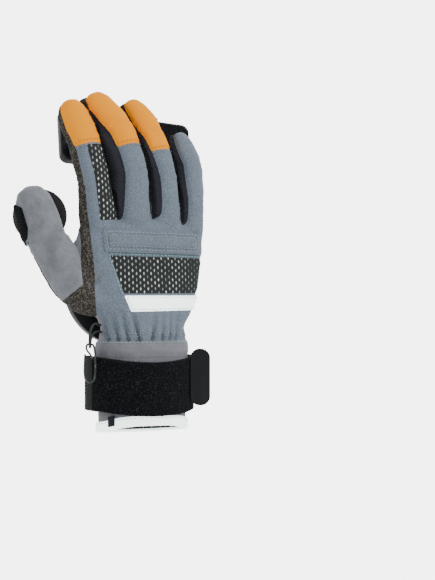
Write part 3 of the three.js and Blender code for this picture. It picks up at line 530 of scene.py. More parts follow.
def loop_pile():
    """Fuzzy black loop pile."""
    made = Finish("loop_pile", Roughness=1.0, Sheen_Weight=0.02, Sheen_Roughness=0.5, Specular_IOR_Level=0.06)
    loops = made.node("ShaderNodeTexVoronoi", {"feature": "SMOOTH_F1"},
                      {"Vector": made.place(), "Scale": 760.0, "Randomness": 1.0, "Smoothness": 0.6}, "Distance")
    fuzz = made.noise(1000.0, 4, 0.75)
    glint = made.ramp(fuzz, 0.54, 0.68)
    base = made.mix(loops, (0.005, 0.0055, 0.007), (0.001, 0.0012, 0.0016))
    return made.done(made.mix(glint * 0.6, base, (0.055, 0.06, 0.068)), fuzz * 0.9 - loops * 0.7, 0.7 * MM, 1.0)


def ribbed_webbing():
    """Black webbing with ribs that run round the wrist."""
    made = Finish("ribbed_webbing", Roughness=0.8, Sheen_Weight=0.02, Specular_IOR_Level=0.15)
    place = made.place()
    ribs = made.wave(place, 215.0, 0.25, "Z")
    threads = made.noise(1400.0, 2)
    base = made.mix(made.ramp(ribs, 0.1, 0.8), (0.003, 0.0035, 0.0035), (0.014, 0.016, 0.0155))
    return made.done(made.mix(threads * 0.25, base, (0.035, 0.038, 0.037)), ribs + threads * 0.2, 0.4 * MM, 0.9)


def pale_tape(colour):
    """Smooth pale tape with a faint bead texture, that throws light back; a painted glow from its emission stands
    in for that light.
    """
    # Painted light: the tape and the cuff binding glow by emission, which stands in for the light that the beads
    # throw back.
    made = Finish("pale_tape", Roughness=0.5, Specular_IOR_Level=0.5, Emission_Strength=2.2)
    made.set("Emission Color", (0.85, 0.95, 0.95))
    beads = made.noise(2600.0, 1)
    patches = made.noise(60.0, 3)
    return made.done(made.mix(patches, darker(colour, 0.86), colour), beads * 0.6 + patches * 0.5, 0.1 * MM, 0.6)


def turned_plastic():
    """Black hard-wearing plastic with fine scuffs and a soft gloss."""
    made = Finish("turned_plastic", Specular_IOR_Level=0.22)
    scuffs = made.noise(40.0, 6, 0.7)
    fine = made.noise(900.0, 2, vector=made.place(scale=(1, 1, 0.12)))
    made.set("Roughness", made.ramp(scuffs, 0.2, 0.8) * 0.14 + 0.26)
    return made.done(made.mix(scuffs, (0.006, 0.0065, 0.0068), (0.014, 0.015, 0.0155)),
                     scuffs * 0.6 + fine * 0.3, 0.06 * MM, 0.6)


def moulded_rubber():
    """Satin black rubber with a pebbled skin."""
    made = Finish("moulded_rubber", Roughness=0.42, Specular_IOR_Level=0.14)
    pebbles = made.noise(1100.0, 2)
    patches = made.noise(60.0, 3)
    return made.done(made.mix(patches, (0.003, 0.0034, 0.0038), (0.008, 0.009, 0.0095)),
                     pebbles * 0.7 + patches * 0.3, 0.1 * MM, 0.7)


def dark_wire():
    """Lacquered wire, worn a little in patches."""
    made = Finish("dark_wire", Metallic=0.85, Specular_IOR_Level=0.5)
    wear_and_painted_light = made.noise(260.0, 4)
    made.set("Roughness", wear_and_painted_light * 0.2 + 0.24)
    return made.done(made.mix(made.ramp(wear_and_painted_light, 0.45, 0.75), (0.03, 0.033, 0.035), (0.16, 0.17, 0.175)),
                     wear_and_painted_light, 0.04 * MM, 0.6)


def braided_cord():
    """Black braided cord."""
    made = Finish("braided_cord", Roughness=0.6, Specular_IOR_Level=0.35)
    braid = made.wave(made.place(turn=(0.5, 0.7, 0.3)), 520.0, 1.2)
    return made.done(made.mix(braid, (0.004, 0.005, 0.006), (0.03, 0.034, 0.038)), braid, 0.25 * MM, 0.9)


def sewing_thread(name, colour):
    """Twisted polyester thread."""
    made = Finish(name, Roughness=0.55, Specular_IOR_Level=0.4)
    twist = made.wave(made.place(turn=(0.6, 0.6, 0.2)), 1500.0, 0.6)
    return made.done(made.mix(twist, darker(colour, 0.7), darker(colour, 1.15)), twist, 0.1 * MM, 0.7)


FINISHES = {}


def make_finishes():
    """Every finish of the glove, by its slot in the record or its own name."""
    group = bpy.context.scene.glove_colours
    colours = {name: tuple(getattr(group, name)) for name in GloveColours.__annotations__}
    FINISHES.update(
        fabric=stretch_cloth(colours["fabric"]),
        orange=cap_twill(colours["twill"]),
        black_knit=ribbed_knit(),
        aramid=speckled_weave(),
        mesh=open_mesh(),
        suede=napped_suede(colours["suede"]),
        thumb_suede=napped_suede(colours["thumb_suede"], "thumb_suede", 0.26),
        cuff_suede=napped_suede(darker(colours["suede"], 0.8), "cuff_suede"),
        loop=loop_pile(),
        webbing=ribbed_webbing(),
        reflective=pale_tape(colours["binding"]),
        plastic=turned_plastic(),
        rubber=moulded_rubber(),
        wire=dark_wire(),
        cord=braided_cord(),
        pale_thread=sewing_thread("pale_thread", colours["pale_thread"]),
        teal_thread=sewing_thread("teal_thread", colours["teal_thread"]),
        dark_thread=sewing_thread("dark_thread", (0.012, 0.014, 0.016)),
        orange_thread=sewing_thread("orange_thread", darker(colours["twill"], 0.75)),
    )


# The body's form


def curve_through(rows, key, places, along="along"):
    """A column of a table at each place, on a smooth curve through its rows."""
    knots = np.array([row[along] for row in rows])
    values = np.array([row[key] for row in rows])
    slopes = np.gradient(values, knots)
    k = np.clip(np.searchsorted(knots, places) - 1, 0, len(knots) - 2)
    width = knots[k + 1] - knots[k]
    t = np.clip((places - knots[k]) / width, 0, 1)
    h = t * t * (3 - 2 * t)
    swell = t * (1 - t)
    return (values[k] * (1 - h) + values[k + 1] * h
            + swell * ((1 - t) * slopes[k] - t * slopes[k + 1]) * width)


def smoothstep(value, low, high):
    """0 below low, 1 above high and an even rise between."""
    t = np.clip((value - low) / (high - low), 0, 1)
    return t * t * (3 - 2 * t)


class Digit:
    """A finger or the thumb: its centre line, the directions round it and its widths."""

    def __init__(self, row, rows, bends, length, width, depth):
        self.name = row["name"]
        self.rows = rows
        self.length = row["long"] * length
        self.width = row["wide"] * width
        self.depth = row["wide"] * depth
        self.along = np.linspace(0, 1, STATIONS + 1)
        lean, curl = (
            np.radians(angles[0] + sum(a * smoothstep(self.along, *bend) for a, bend in zip(angles[1:], bends)))
            for angles in (row["lean"], row["curl"])
        )
        turn = math.radians(row["turn"])
        palmward = np.array([math.sin(turn), math.cos(turn), 0])
        ahead = np.stack([-np.sin(lean), 0 * lean, np.cos(lean)], 1) * np.cos(curl)[:, None]
        ahead += palmward * np.sin(curl)[:, None]
        self.ahead = ahead / np.linalg.norm(ahead, axis=1)[:, None]
        steps = self.ahead[:-1] * (self.length / STATIONS)
        root = np.array([row["across"] * KNUCKLE_WIDTH, row["lift"] * KNUCKLE_DEPTH,
                         CUFF_LENGTH + row["up"] * HAND_LENGTH])
        self.place = root + np.concatenate([np.zeros((1, 3)), np.cumsum(steps, 0)])
        pad = palmward - (self.ahead @ palmward)[:, None] * self.ahead
        self.pad = pad / np.linalg.norm(pad, axis=1)[:, None]
        self.side = np.cross(self.pad, self.ahead)

    def sizes(self, along):
        """Half width and half depth at each place along."""
        wide = curve_through(self.rows, "wide", along) * self.width / 2
        deep = curve_through(self.rows, "deep", along) * self.depth / 2
        return wide, deep

    def points(self, along, angle, out=0.0):
        """Points at places along and degrees round, raised by out."""
        along, angle = np.broadcast_arrays(np.asarray(along, float), np.asarray(angle, float))
        k = np.clip(np.rint(along * STATIONS).astype(int), 0, STATIONS)
        wide, deep = self.sizes(along)
        c, s = np.cos(np.radians(angle)), np.sin(np.radians(angle))
        return (self.place[k] + self.side[k] * (c * (wide + out))[..., None]
                + self.pad[k] * (s * (deep + out))[..., None])

    def locate(self, points):
        """For each point: place along, and how far off the middle it lies as shares of the half sizes."""
        best = np.full(len(points), np.inf)
        nearest = np.zeros(len(points), int)
        for k in range(0, STATIONS + 1, 2):
            gap = ((points - self.place[k]) ** 2).sum(1)
            closer = gap < best
            best[closer] = gap[closer]
            nearest[closer] = k
        offset = points - self.place[nearest]
        along = self.along[nearest] + (offset * self.ahead[nearest]).sum(1) / self.length
        wide, deep = self.sizes(np.clip(along, 0, 0.95))
        x = (offset * self.side[nearest]).sum(1) / wide
        y = (offset * self.pad[nearest]).sum(1) / deep
        return np.stack([along, x, y], 1)


DIGITS = [Digit(row, FINGER_ROWS, FINGER_BENDS, FINGER_LENGTH, FINGER_WIDTH, FINGER_DEPTH) for row in FINGERS]
DIGITS.append(Digit(THUMB, THUMB_ROWS, THUMB_BENDS, THUMB_LENGTH, THUMB_WIDTH, THUMB_DEPTH))
INDEX, MIDDLE, RING, LITTLE, THUMB_DIGIT = DIGITS


def section_rows():
    """Cuff, wrist and hand rows as one table in metres."""
    rows = [{"z": r["up"] * CUFF_LENGTH, "wide": r["wide"] * CUFF_WIDTH / 2, "back": r["back"] * CUFF_DEPTH / 2,
             "palm": r["palm"] * CUFF_DEPTH / 2, "x": 0.0, "y": 0.0, "square": 2.0} for r in CUFF_ROWS]
    rows.append({"z": CUFF_LENGTH, "wide": WRIST_WIDTH / 2, "back": WRIST_DEPTH / 2, "palm": WRIST_DEPTH / 2,
                 "x": 0.0, "y": 0.0, "square": 2.0})
    rows += [{"z": CUFF_LENGTH + r["up"] * HAND_LENGTH, "wide": r["wide"] * KNUCKLE_WIDTH / 2,
              "back": r["back"] * KNUCKLE_DEPTH / 2, "palm": r["palm"] * KNUCKLE_DEPTH / 2,
              "x": r["side"] * KNUCKLE_WIDTH, "y": r["lift"] * KNUCKLE_DEPTH, "square": r["square"]}
             for r in HAND_ROWS]
    return rows


SECTIONS = section_rows()
HAND_TOP = SECTIONS[-1]["z"]


def section(key, z):
    """One column of the cuff and hand table at each height."""
    return curve_through(SECTIONS, key, z, "z")


def hand_points(z, angle, out=0.0):
    """Points on the cuff or hand at heights and degrees round, raised by out."""
    z, angle = np.broadcast_arrays(np.asarray(z, float), np.asarray(angle, float))
    c, s = np.cos(np.radians(angle)), np.sin(np.radians(angle))
    power = 2 / section("square", z)
    deep = np.where(s < 0, section("back", z), section("palm", z)) + out
    x = section("x", z) + np.sign(c) * np.abs(c) ** power * (section("wide", z) + out)
    y = section("y", z) + np.sign(s) * np.abs(s) ** power * deep
    return np.stack([x, y, z], -1)


def hand_height(up):
    """The height of a share of the hand's length."""
    return CUFF_LENGTH + up * HAND_LENGTH


def grid_faces(rings, sides, closed=True):
    """Quads between rings of points, and triangles over both ends where closed."""
    faces = []
    for r in range(rings - 1):
        for k in range(sides):
            n = (k + 1) % sides
            faces.append((r * sides + k, r * sides + n, (r + 1) * sides + n, (r + 1) * sides + k))
    if closed:
        low, high = rings * sides, rings * sides + 1
        top = (rings - 1) * sides
        for k in range(sides):
            n = (k + 1) % sides
            faces.append((low, n, k))
            faces.append((high, top + k, top + n))
    return faces


def mesh_object(name, points, faces):
    """A mesh object at the origin."""
    mesh = bpy.data.meshes.new(name)
    mesh.from_pydata([tuple(p) for p in np.asarray(points, float)], [], [tuple(int(i) for i in f) for f in faces])
    mesh.update()
    return new_object(name, mesh)


def new_object(name, data):
    """An object of the scene with this data."""
    made = bpy.data.objects.new(name, data)
    bpy.context.scene.collection.objects.link(made)
    return made


def select_only(*objects):
    """Only these objects are selected, and the first is active."""
    bpy.ops.object.select_all(action="DESELECT")
    for one in objects:
        one.select_set(True)
    bpy.context.view_layer.objects.active = objects[0]


@contextmanager
def all_selected(obj):
    """Edit mode on one object with all of its mesh selected."""
    select_only(obj)
    bpy.ops.object.mode_set(mode="EDIT")
    bpy.ops.mesh.select_all(action="SELECT")
    yield
    bpy.ops.object.mode_set(mode="OBJECT")


def apply_modifier(obj, kind, **settings):
    """Adds a modifier with its settings and applies it."""
    select_only(obj)
    modifier = obj.modifiers.new(kind.lower(), kind)
    for name, value in settings.items():
        setattr(modifier, name, value)
    bpy.ops.object.modifier_apply(modifier=modifier.name)


def closed_rings(name, rings):
    """A closed mesh object through rings of points."""
    rings = np.asarray(rings)
    ends = [rings[0].mean(0), rings[-1].mean(0)]
    points = np.concatenate([rings.reshape(-1, 3), ends])
    return mesh_object(name, points, grid_faces(len(rings), rings.shape[1]))


def endless_rings(name, rings):
    """A closed mesh object through rings of points, the last of which meets the first."""
    rings = np.asarray(rings)
    count, sides = rings.shape[:2]
    faces = grid_faces(count, sides, False)
    last = (count - 1) * sides
    faces += [(last + k, last + (k + 1) % sides, (k + 1) % sides, k) for k in range(sides)]
    return outward(mesh_object(name, rings.reshape(-1, 3), faces))


def mesh_arrays(obj):
    """Vertices and triangles of a mesh object."""
    mesh = obj.data
    points = np.empty(len(mesh.vertices) * 3)
    mesh.vertices.foreach_get("co", points)
    mesh.calc_loop_triangles()
    faces = np.empty(len(mesh.loop_triangles) * 3, np.int64)
    mesh.loop_triangles.foreach_get("vertices", faces)
    return points.reshape(-1, 3), faces.reshape(-1, 3)


def vertex_normals(points, faces):
    """Area-weighted normals of a triangle mesh."""
    flat = np.cross(points[faces[:, 1]] - points[faces[:, 0]], points[faces[:, 2]] - points[faces[:, 0]])
    normals = np.zeros_like(points)
    for k in range(3):
        np.add.at(normals, faces[:, k], flat)
    return normals / np.maximum(np.linalg.norm(normals, axis=1), 1e-12)[:, None]


def bumpy(points, size, seed):
    """Smooth noise from about -1 to 1 with lumps of that size."""
    start = Vector((seed * 7.3, seed * 3.1, seed * 5.7))
    return np.array([noise.noise(Vector(p) / size + start) for p in points])


def view_plane(points):
    """Where the camera sees each point, across and up, on the upright plane through the cuff's centre."""
    across = points[:, 0] * math.cos(VIEW_TURN) + points[:, 1] * math.sin(VIEW_TURN)
    depth = points[:, 1] * math.cos(VIEW_TURN) - points[:, 0] * math.sin(VIEW_TURN)
    grow = CAMERA_DISTANCE / (CAMERA_DISTANCE + depth)
    return (FRAME_CENTRE[0] + (across - FRAME_CENTRE[0]) * grow,
            FRAME_CENTRE[1] + (points[:, 2] - FRAME_CENTRE[1]) * grow)


def gather_lift(points, depth):
    """The elastic's gathers on the wrist: sharp folds that fan out upwards and fade."""
    across, up = view_plane(points)[0], points[:, 2]
    elastic = CUFF_LENGTH - BAND_HEIGHT / 2
    lift = np.zeros(len(points))
    for fold in GATHERS:
        share = np.clip((up - elastic) / (fold["reach"] * MM), 0, 1)
        off = across - (fold["across"] + fold["lean"] * share) * MM
        narrow = (1.1 + 1.5 * share) * MM
        groove = np.exp(-((off / narrow) ** 2)) * (1 - share) ** 0.7
        crest = np.exp(-((off / (3.2 * narrow)) ** 2)) * (1 - share)
        lift += depth * fold["depth"] * (0.35 * crest - 1.25 * groove)
    back = smoothstep(-points[:, 1], -6 * MM, 6 * MM)
    palm = 0.3 * depth * np.sin(np.radians(8 * np.degrees(np.arctan2(points[:, 1], points[:, 0]))))
    rise = (up - elastic) / (0.24 * HAND_LENGTH)
    palm = palm * (1 - smoothstep(rise, 0.1, 1.0))
    return smoothstep(up, elastic - 2 * MM, elastic + 1.5 * MM) * (lift * back + palm * (1 - back))


def crease_lift(located, depth):
    """Creases across the fingers' joints, deeper on the pad's side."""
    lift = np.zeros(len(located))
    for k, digit in enumerate(DIGITS):
        along, x, y = located[:, 3 * k : 3 * k + 3].T
        own = smoothstep(1.35 - np.hypot(x, y), 0, 0.15)
        bends = THUMB_BENDS if digit is THUMB_DIGIT else FINGER_BENDS
        for bend in bends:
            middle = (bend[0] + bend[1]) / 2
            for shift, share in ((-0.03, 0.7), (0.0, 1.0), (0.035, 0.6)):
                waver = 0.012 * np.sin(5 * np.arctan2(y, x) + 40 * shift + k)
                groove = np.exp(-(((along - middle - shift + waver) / 0.011) ** 2))
                lift -= depth * share * own * groove * (0.45 + 0.55 * smoothstep(y, -0.3, 0.8))
    return lift


class Sheet:
    """A triangle mesh that carries where each vertex lies on the digits."""

    def __init__(self, columns, faces):
        self.columns = columns
        self.faces = faces

    @property
    def points(self):
        return self.columns[:, :3]

    @property
    def normals(self):
        return self.columns[:, 3:6]

    def digit(self, k):
        """Place along, degrees round and distance off the middle, for digit k."""
        along, x, y = self.columns[:, 6 + 3 * k : 9 + 3 * k].T
        return along, np.degrees(np.arctan2(y, x)) % 360, np.hypot(x, y)

    def split(self, field):
        """The sheets where field is above and below zero, cut along its zero line."""
        field = np.where(np.abs(field) < 0.12 * MM, 1e-9, field)
        kept = field > 0
        count = kept[self.faces].sum(1)
        whole = {True: [self.faces[count == 3]], False: [self.faces[count == 0]]}
        columns = self.columns
        for lone_kept in (True, False):  # triangles with one corner kept, then those with two
            cut = self.faces[count == (1 if lone_kept else 2)]
            if not len(cut):
                continue
            turn = (kept[cut] == lone_kept).argmax(1)
            row = np.arange(len(cut))
            a, b, c = (cut[row, (turn + k) % 3] for k in range(3))
            edges = np.concatenate([np.stack([a, b], 1), np.stack([a, c], 1)])
            keys, where = np.unique(np.sort(edges, 1), axis=0, return_inverse=True)
            where = where.ravel()
            share = field[keys[:, 0]] / (field[keys[:, 0]] - field[keys[:, 1]])
            share = np.clip(share, 0.001, 0.999)[:, None]
            fresh = columns[keys[:, 0]] * (1 - share) + columns[keys[:, 1]] * share
            ab, ac = len(columns) + where[: len(cut)], len(columns) + where[len(cut) :]
            columns = np.concatenate([columns, fresh])
            field = np.concatenate([field, np.zeros(len(fresh))])
            whole[lone_kept].append(np.stack([a, ab, ac], 1))
            whole[not lone_kept] += [np.stack([ab, b, c], 1), np.stack([ab, c, ac], 1)]
        return [compact(columns, np.concatenate(whole[side])) for side in (True, False)]

    def edge_distance(self, reach):
        """Distance of each vertex to the sheet's own rim, up to reach."""
        edges = np.sort(np.concatenate([self.faces[:, [0, 1]], self.faces[:, [1, 2]], self.faces[:, [2, 0]]]), 1)
        keys, counts = np.unique(edges, axis=0, return_counts=True)
        distance = np.full(len(self.columns), 10 * reach)
        distance[np.unique(keys[counts == 1])] = 0
        lengths = np.linalg.norm(self.points[keys[:, 0]] - self.points[keys[:, 1]], axis=1)
        for _ in range(int(reach / VOXEL) + 3):
            np.minimum.at(distance, keys[:, 0], distance[keys[:, 1]] + lengths)
            np.minimum.at(distance, keys[:, 1], distance[keys[:, 0]] + lengths)
        return distance


def compact(columns, faces):
    """A sheet without the vertices that no face uses, nor the faces with no area."""
    flat = np.cross(columns[faces[:, 1], :3] - columns[faces[:, 0], :3],
                    columns[faces[:, 2], :3] - columns[faces[:, 0], :3])
    faces = faces[np.linalg.norm(flat, axis=1) > 1e-13]
    used, where = np.unique(faces, return_inverse=True)
    return Sheet(columns[used], where.reshape(-1, 3))


def even_out(obj, voxel, rounds):
    """Joins a mesh into one skin of even faces and smooths it."""
    select_only(obj)
    obj.data.remesh_voxel_size = voxel
    bpy.ops.object.voxel_remesh()
    apply_modifier(obj, "SMOOTH", factor=0.5, iterations=rounds)


BODY = {}


def make_body(sizes):
    """The whole sewn body as one wrinkled sheet, and a tree to find its surface with."""
    along = 1 - np.cos(np.linspace(0, math.pi / 2, DIGIT_RINGS))[::-1]
    along = np.sort(np.concatenate([np.linspace(0, 0.9, DIGIT_RINGS), 1 - 0.1 * (1 - along) ** 2]))
    angle = np.arange(DIGIT_SIDES) * 360 / DIGIT_SIDES
    parts = [closed_rings(digit.name, digit.points(along[:, None], angle[None, :])) for digit in DIGITS]
    z = np.linspace(HEM_START, HAND_TOP, HAND_RINGS)
    turn = np.arange(HAND_SIDES) * 360 / HAND_SIDES
    parts.append(closed_rings("hand", hand_points(z[:, None], turn[None, :])))
    select_only(*parts)
    bpy.ops.object.join()
    whole = bpy.context.active_object
    with all_selected(whole):
        bpy.ops.mesh.normals_make_consistent(inside=False)
    even_out(whole, VOXEL, SMOOTH_ROUNDS)
    points, faces = mesh_arrays(whole)
    bpy.data.objects.remove(whole)
    located = np.concatenate([digit.locate(points) for digit in DIGITS], 1)
    normals = vertex_normals(points, faces)
    lift = gather_lift(points, sizes.gather) + crease_lift(located, sizes.crease)
    on_hand = smoothstep(points[:, 2], CUFF_LENGTH, hand_height(0.3))
    lift += on_hand * (0.8 * MM * bumpy(points, 19 * MM, 1) + 0.4 * MM * bumpy(points, 8 * MM, 2))
    lift += 0.25 * MM * (1 - on_hand) * bumpy(points, 14 * MM, 3)
    points = points + normals * lift[:, None]
    normals = vertex_normals(points, faces)
    BODY["sheet"] = Sheet(np.concatenate([points, normals, located], 1), faces)
    BODY["tree"] = BVHTree.FromPolygons([Vector(p) for p in points], faces.tolist())


# Where the seams run


def ring_distance(angle, left, right, radius):
    """How far inside the stretch from left to right a place lies, round a ring."""
    middle, half = (left + right) / 2, (right - left) / 2
    off = np.abs((angle - middle + 180) % 360 - 180)
    return np.radians(half - off) * radius


def seam_at(seam, along):
    """The degrees of a seam at each place along a digit."""
    knots, degrees = np.array(seam, float).T
    return np.interp(along, knots, degrees)


def soft_min(first, second, radius):
    """The smaller of two fields, with the corner between them rounded."""
    return -radius * np.logaddexp(-first / radius, -second / radius)


def inside(across, up, corners):
    """Distance in from a polygon's outline, below zero outside it."""
    ends = np.array(corners, float)
    nearest = np.full(len(across), np.inf)
    within = np.zeros(len(across), bool)
    for (ax, az), (bx, bz) in zip(ends, np.roll(ends, -1, 0)):
        dx, dz = bx - ax, bz - az
        share = np.clip(((across - ax) * dx + (up - az) * dz) / (dx * dx + dz * dz), 0, 1)
        nearest = np.minimum(nearest, np.hypot(across - ax - share * dx, up - az - share * dz))
        crosses = (az > up) != (bz > up)
        within ^= crosses & (across < ax + (up - az) * dx / (dz or 1))
    return np.where(within, nearest, -nearest)


def in_view(sheet, corners, limit=None):
    """Above zero inside corners drawn on the photograph's view, and no further to the palm than a limit."""
    field = inside(*view_plane(sheet.points), [(a * MM, u * MM) for a, u in corners])
    return field if limit is None else np.minimum(field, limit - sheet.points[:, 1])


def on_digit(sheet, digit, start, end, left, right, reach=1.3, rounding=0.6 * MM):
    """Above zero on a stretch of one digit's surface, in metres from its edge."""
    k = DIGITS.index(digit)
    along, angle, off = sheet.digit(k)
    others = np.stack([sheet.digit(j)[2] for j in range(len(DIGITS)) if j != k]).min(0)
    radius = digit.width / 2
    field = soft_min((along - start) * digit.length, ring_distance(angle, left, right, radius), rounding)
    if end <= 1:
        field = soft_min(field, (end - along) * digit.length, rounding)
    return np.minimum(field, np.minimum(reach - off, others - off) * radius)


def on_edge(sheet, low, high, left, right):
    """Above zero on a sector of the hand's edge."""
    x, y, z = sheet.points.T
    angle = np.degrees(np.arctan2(y - section("y", z), x - section("x", z))) % 360
    field = ring_distance(angle, left, right, KNUCKLE_WIDTH / 2)
    outer = np.abs(x - section("x", z)) - 0.72 * section("wide", z)
    return np.minimum(np.minimum(field, outer), np.minimum(z - low, high - z))


def on_back(sheet, corners):
    """Above zero inside a polygon on the back of the hand."""
    x, y, z = sheet.points.T
    field = inside(x, z, [(a * KNUCKLE_WIDTH, hand_height(u)) for a, u in corners])
    return np.minimum(field, SIDE_SEAM * KNUCKLE_DEPTH - y)


def hem_rise(y):
    """How far the hem arches up over the back of the wrist."""
    return HEM_ARCH * smoothstep(-y, *HEM_ARCH_SPAN)


def above_hem(sheet, height):
    """Distance above the hem, raised by height."""
    y = sheet.points[:, 1]
    return sheet.points[:, 2] + y * math.tan(math.radians(HEM_TILT)) - hem_rise(y) - height


def cut_order():
    """The sewn panels in the order that they are cut, each with its finish and its field."""
    band_from = CUFF_LENGTH - 1.5 * BAND_HEIGHT
    band_to = CUFF_LENGTH - BAND_HEIGHT / 2
    panels = [
        ("cuff", "cuff_suede", lambda s: band_from - s.points[:, 2]),
        ("cuff_band", "suede", lambda s: band_to - s.points[:, 2]),
        ("thumb_back", "thumb_suede", thumb_back_field),
        ("thumb_strip", "aramid", lambda s: on_digit(s, THUMB_DIGIT, **THUMB_STRIP)),
        ("thumb_front", "suede", lambda s: on_digit(s, THUMB_DIGIT, **THUMB_FRONT)),
    ]
    for digit in (INDEX, MIDDLE, RING):
        panels.append((f"{digit.name}_cap", "orange", lambda s, d=digit: cap_field(s, d)))
    panels.append(("index_mesh", "mesh", lambda s: on_digit(s, INDEX, **INDEX_MESH)))
    for digit in (INDEX, MIDDLE, RING):
        panels.append((f"{digit.name}_outer_side", "black_knit", lambda s, d=digit: outer_side(s, d)))
    for digit in (MIDDLE, RING, LITTLE):
        panels.append((f"{digit.name}_inner_side", "black_knit", lambda s, d=digit: inner_side(s, d)))
    panels += [
        ("thumb_collar", "aramid", lambda s: np.minimum(
            in_view(s, SIDE_STRIP, COLLAR_LIMIT), hand_height(COLLAR_TOP) - s.points[:, 2])),
        ("thumb_side_strip", "aramid", lambda s: np.maximum(
            on_digit(s, INDEX, 0.0, TO_TIP, 150, seam_of(s, INDEX)), in_view(s, SIDE_STRIP, STRIP_LIMIT))),
        ("little_side_strip", "aramid", lambda s: np.maximum(
            on_digit(s, LITTLE, **LITTLE_STRIP), on_edge(s, hand_height(0.1), hand_height(0.94), 8, 24))),
        ("back_mesh", "mesh", lambda s: on_back(s, BACK_MESH)),
        ("palm", "suede", palm_field),
    ]
    return panels


def seam_of(sheet, digit):
    """The degrees of a digit's back seam at each vertex."""
    return seam_at(BACK_SEAM[digit.name], sheet.digit(DIGITS.index(digit))[0])


def thumb_back_field(sheet):
    """The thumb's back down to its root, short of the strip and the collar."""
    field = np.maximum(on_digit(sheet, THUMB_DIGIT, **THUMB_BACK), in_view(sheet, THUMB_ROOT, ROOT_LIMIT))
    return np.minimum(field, -in_view(sheet, SIDE_STRIP, COLLAR_LIMIT))


def cap_field(sheet, digit):
    """The orange cap over a fingertip's back."""
    return on_digit(sheet, digit, CAP_FROM[digit.name], TO_TIP, seam_of(sheet, digit), CAP_RIGHT)


def outer_side(sheet, digit):
    """The knit side that faces away from the thumb."""
    return on_digit(sheet, digit, WEB_FROM[digit.name], TO_TIP, OUTER_SEAM - 360, PAD_SEAM[0],
                    rounding=SIDE_ROUNDING)


def inner_side(sheet, digit):
    """The knit side that faces the thumb."""
    return on_digit(sheet, digit, WEB_FROM[digit.name], TO_TIP, PAD_SEAM[1], seam_of(sheet, digit), 1.5,
                    SIDE_ROUNDING)


def palm_field(sheet):
    """The palm and the fingers' pads."""
    field = np.minimum(sheet.points[:, 1] - SIDE_SEAM * KNUCKLE_DEPTH, hand_height(PALM_TOP) - sheet.points[:, 2])
    for digit in DIGITS[:4]:
        field = np.maximum(field, on_digit(sheet, digit, 0, TO_TIP, PAD_SEAM[0], PAD_SEAM[1] + 6))
    return np.maximum(field, in_view(sheet, WRIST_SUEDE, SUEDE_LIMIT))


def dress(obj, finish, *nodes, slot=None):
    """Gives a piece its finish, its body and the nodes that it stands for."""
    obj.data.materials.clear()
    obj.data.materials.append(FINISHES[finish])
    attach(obj, "root")
    if nodes:
        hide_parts(*nodes)
    if slot or finish in [m["slot"] for m in frame["record"]["materials"]]:
        slot or finish
    return obj


def shade_smooth(obj, angle=None):
    """Smooth shading, with edges over an angle kept sharp."""
    select_only(obj)
    if angle is None:
        bpy.ops.object.shade_smooth()
    else:
        bpy.ops.object.shade_smooth_by_angle(angle=math.radians(angle))


def thicken(obj, thickness):
    """Gives a sheet its thickness inwards, as applied geometry."""
    apply_modifier(obj, "SOLIDIFY", thickness=thickness, offset=-1, use_even_offset=False)


def cloth_piece(name, sheet, thickness, dip, lift=0.0, width=2.2 * MM):
    """A cloth panel from a sheet: its rim dips towards the seam and it has a thickness."""
    edge = np.exp(-((sheet.edge_distance(3 * width) / width) ** 2))
    points = sheet.points + sheet.normals * (lift - dip * edge)[:, None]
    made = mesh_object(name, points, sheet.faces)
    thicken(made, thickness)
    shade_smooth(made)
    return made


class GLOVE_OT_sewn_body(bpy.types.Operator):
    """Sews the body: panels of cloth, knit, mesh and suede cut out of one wrinkled form"""

    bl_idname = "glove.sewn_body"
    bl_label = "Sewn body"

    def execute(self, context):
        sizes = context.scene.glove_sizes
        make_body(sizes)
        _, rest = BODY["sheet"].split(-above_hem(BODY["sheet"], 0))
        BODY["whole"] = rest
        for name, finish, field in cut_order():
            piece, rest = rest.split(field(rest))
            lift = KNIT_SWELL.get(name, 0.0) * smoothstep(piece.edge_distance(5 * MM), 0, 5 * MM)
            panel = cloth_piece(f"{name}_cloth", piece, sizes.cloth, sizes.seam, lift)
            dress(panel, finish, name, slot="fabric" if finish in ("thumb_suede", "cuff_suede") else None)
        dress(cloth_piece("hand_back_cloth", rest, sizes.cloth, sizes.seam), "fabric", "hand_back")
        return {"FINISHED"}


class GLOVE_OT_layers(bpy.types.Operator):
    """Lays the knuckle pad and the reflective strip on the back, and the wrap on the thumb"""

    bl_idname = "glove.layers"
    bl_label = "Pad, strip and wrap"

    def execute(self, context):
        whole = BODY["whole"]
        pad, _ = whole.split(on_back(whole, KNUCKLE_PAD))
        edge = pad.edge_distance(9 * MM)
        crown = CROWN["base"] + CROWN["rise"] * smoothstep(edge, CROWN["from"], CROWN["to"])
        groove = GROOVE["depth"] * np.exp(-(((edge - GROOVE["at"]) / GROOVE["width"]) ** 2))
        made = cloth_piece("knuckle_pad_cloth", pad, 1.2 * MM, 0.0, crown - groove)
        dress(made, "fabric", "knuckle_pad")
        strip, _ = whole.split(on_back(whole, REFLECTIVE))
        made = cloth_piece("reflective_strip_cloth", strip, 0.9 * MM, 0.35 * MM, 0.95 * MM, 1.2 * MM)
        dress(made, "reflective", "reflective_strip")
        k = DIGITS.index(THUMB_DIGIT)
        seen = soft_min(in_view(whole, THUMB_WRAP), (1.3 - whole.digit(k)[2]) * THUMB_WIDTH / 2, 0.5 * MM)
        seen = np.minimum(seen, ring_distance(whole.digit(k)[1], 165, 300, THUMB_WIDTH / 2))
        wrap, _ = whole.split(np.maximum(seen, on_digit(whole, THUMB_DIGIT, **THUMB_WRAP_PAD)))
        made = cloth_piece("thumb_wrap_cloth", wrap, 1.0 * MM, 0.3 * MM, 1.3 * MM, 1.2 * MM)
        dress(made, "loop")
        return {"FINISHED"}


def carried(place, angles, profile):
    """A closed profile carried round the wrist: a ring of points at each angle."""
    return [[place(angle, u, v) for u, v in profile] for angle in angles]


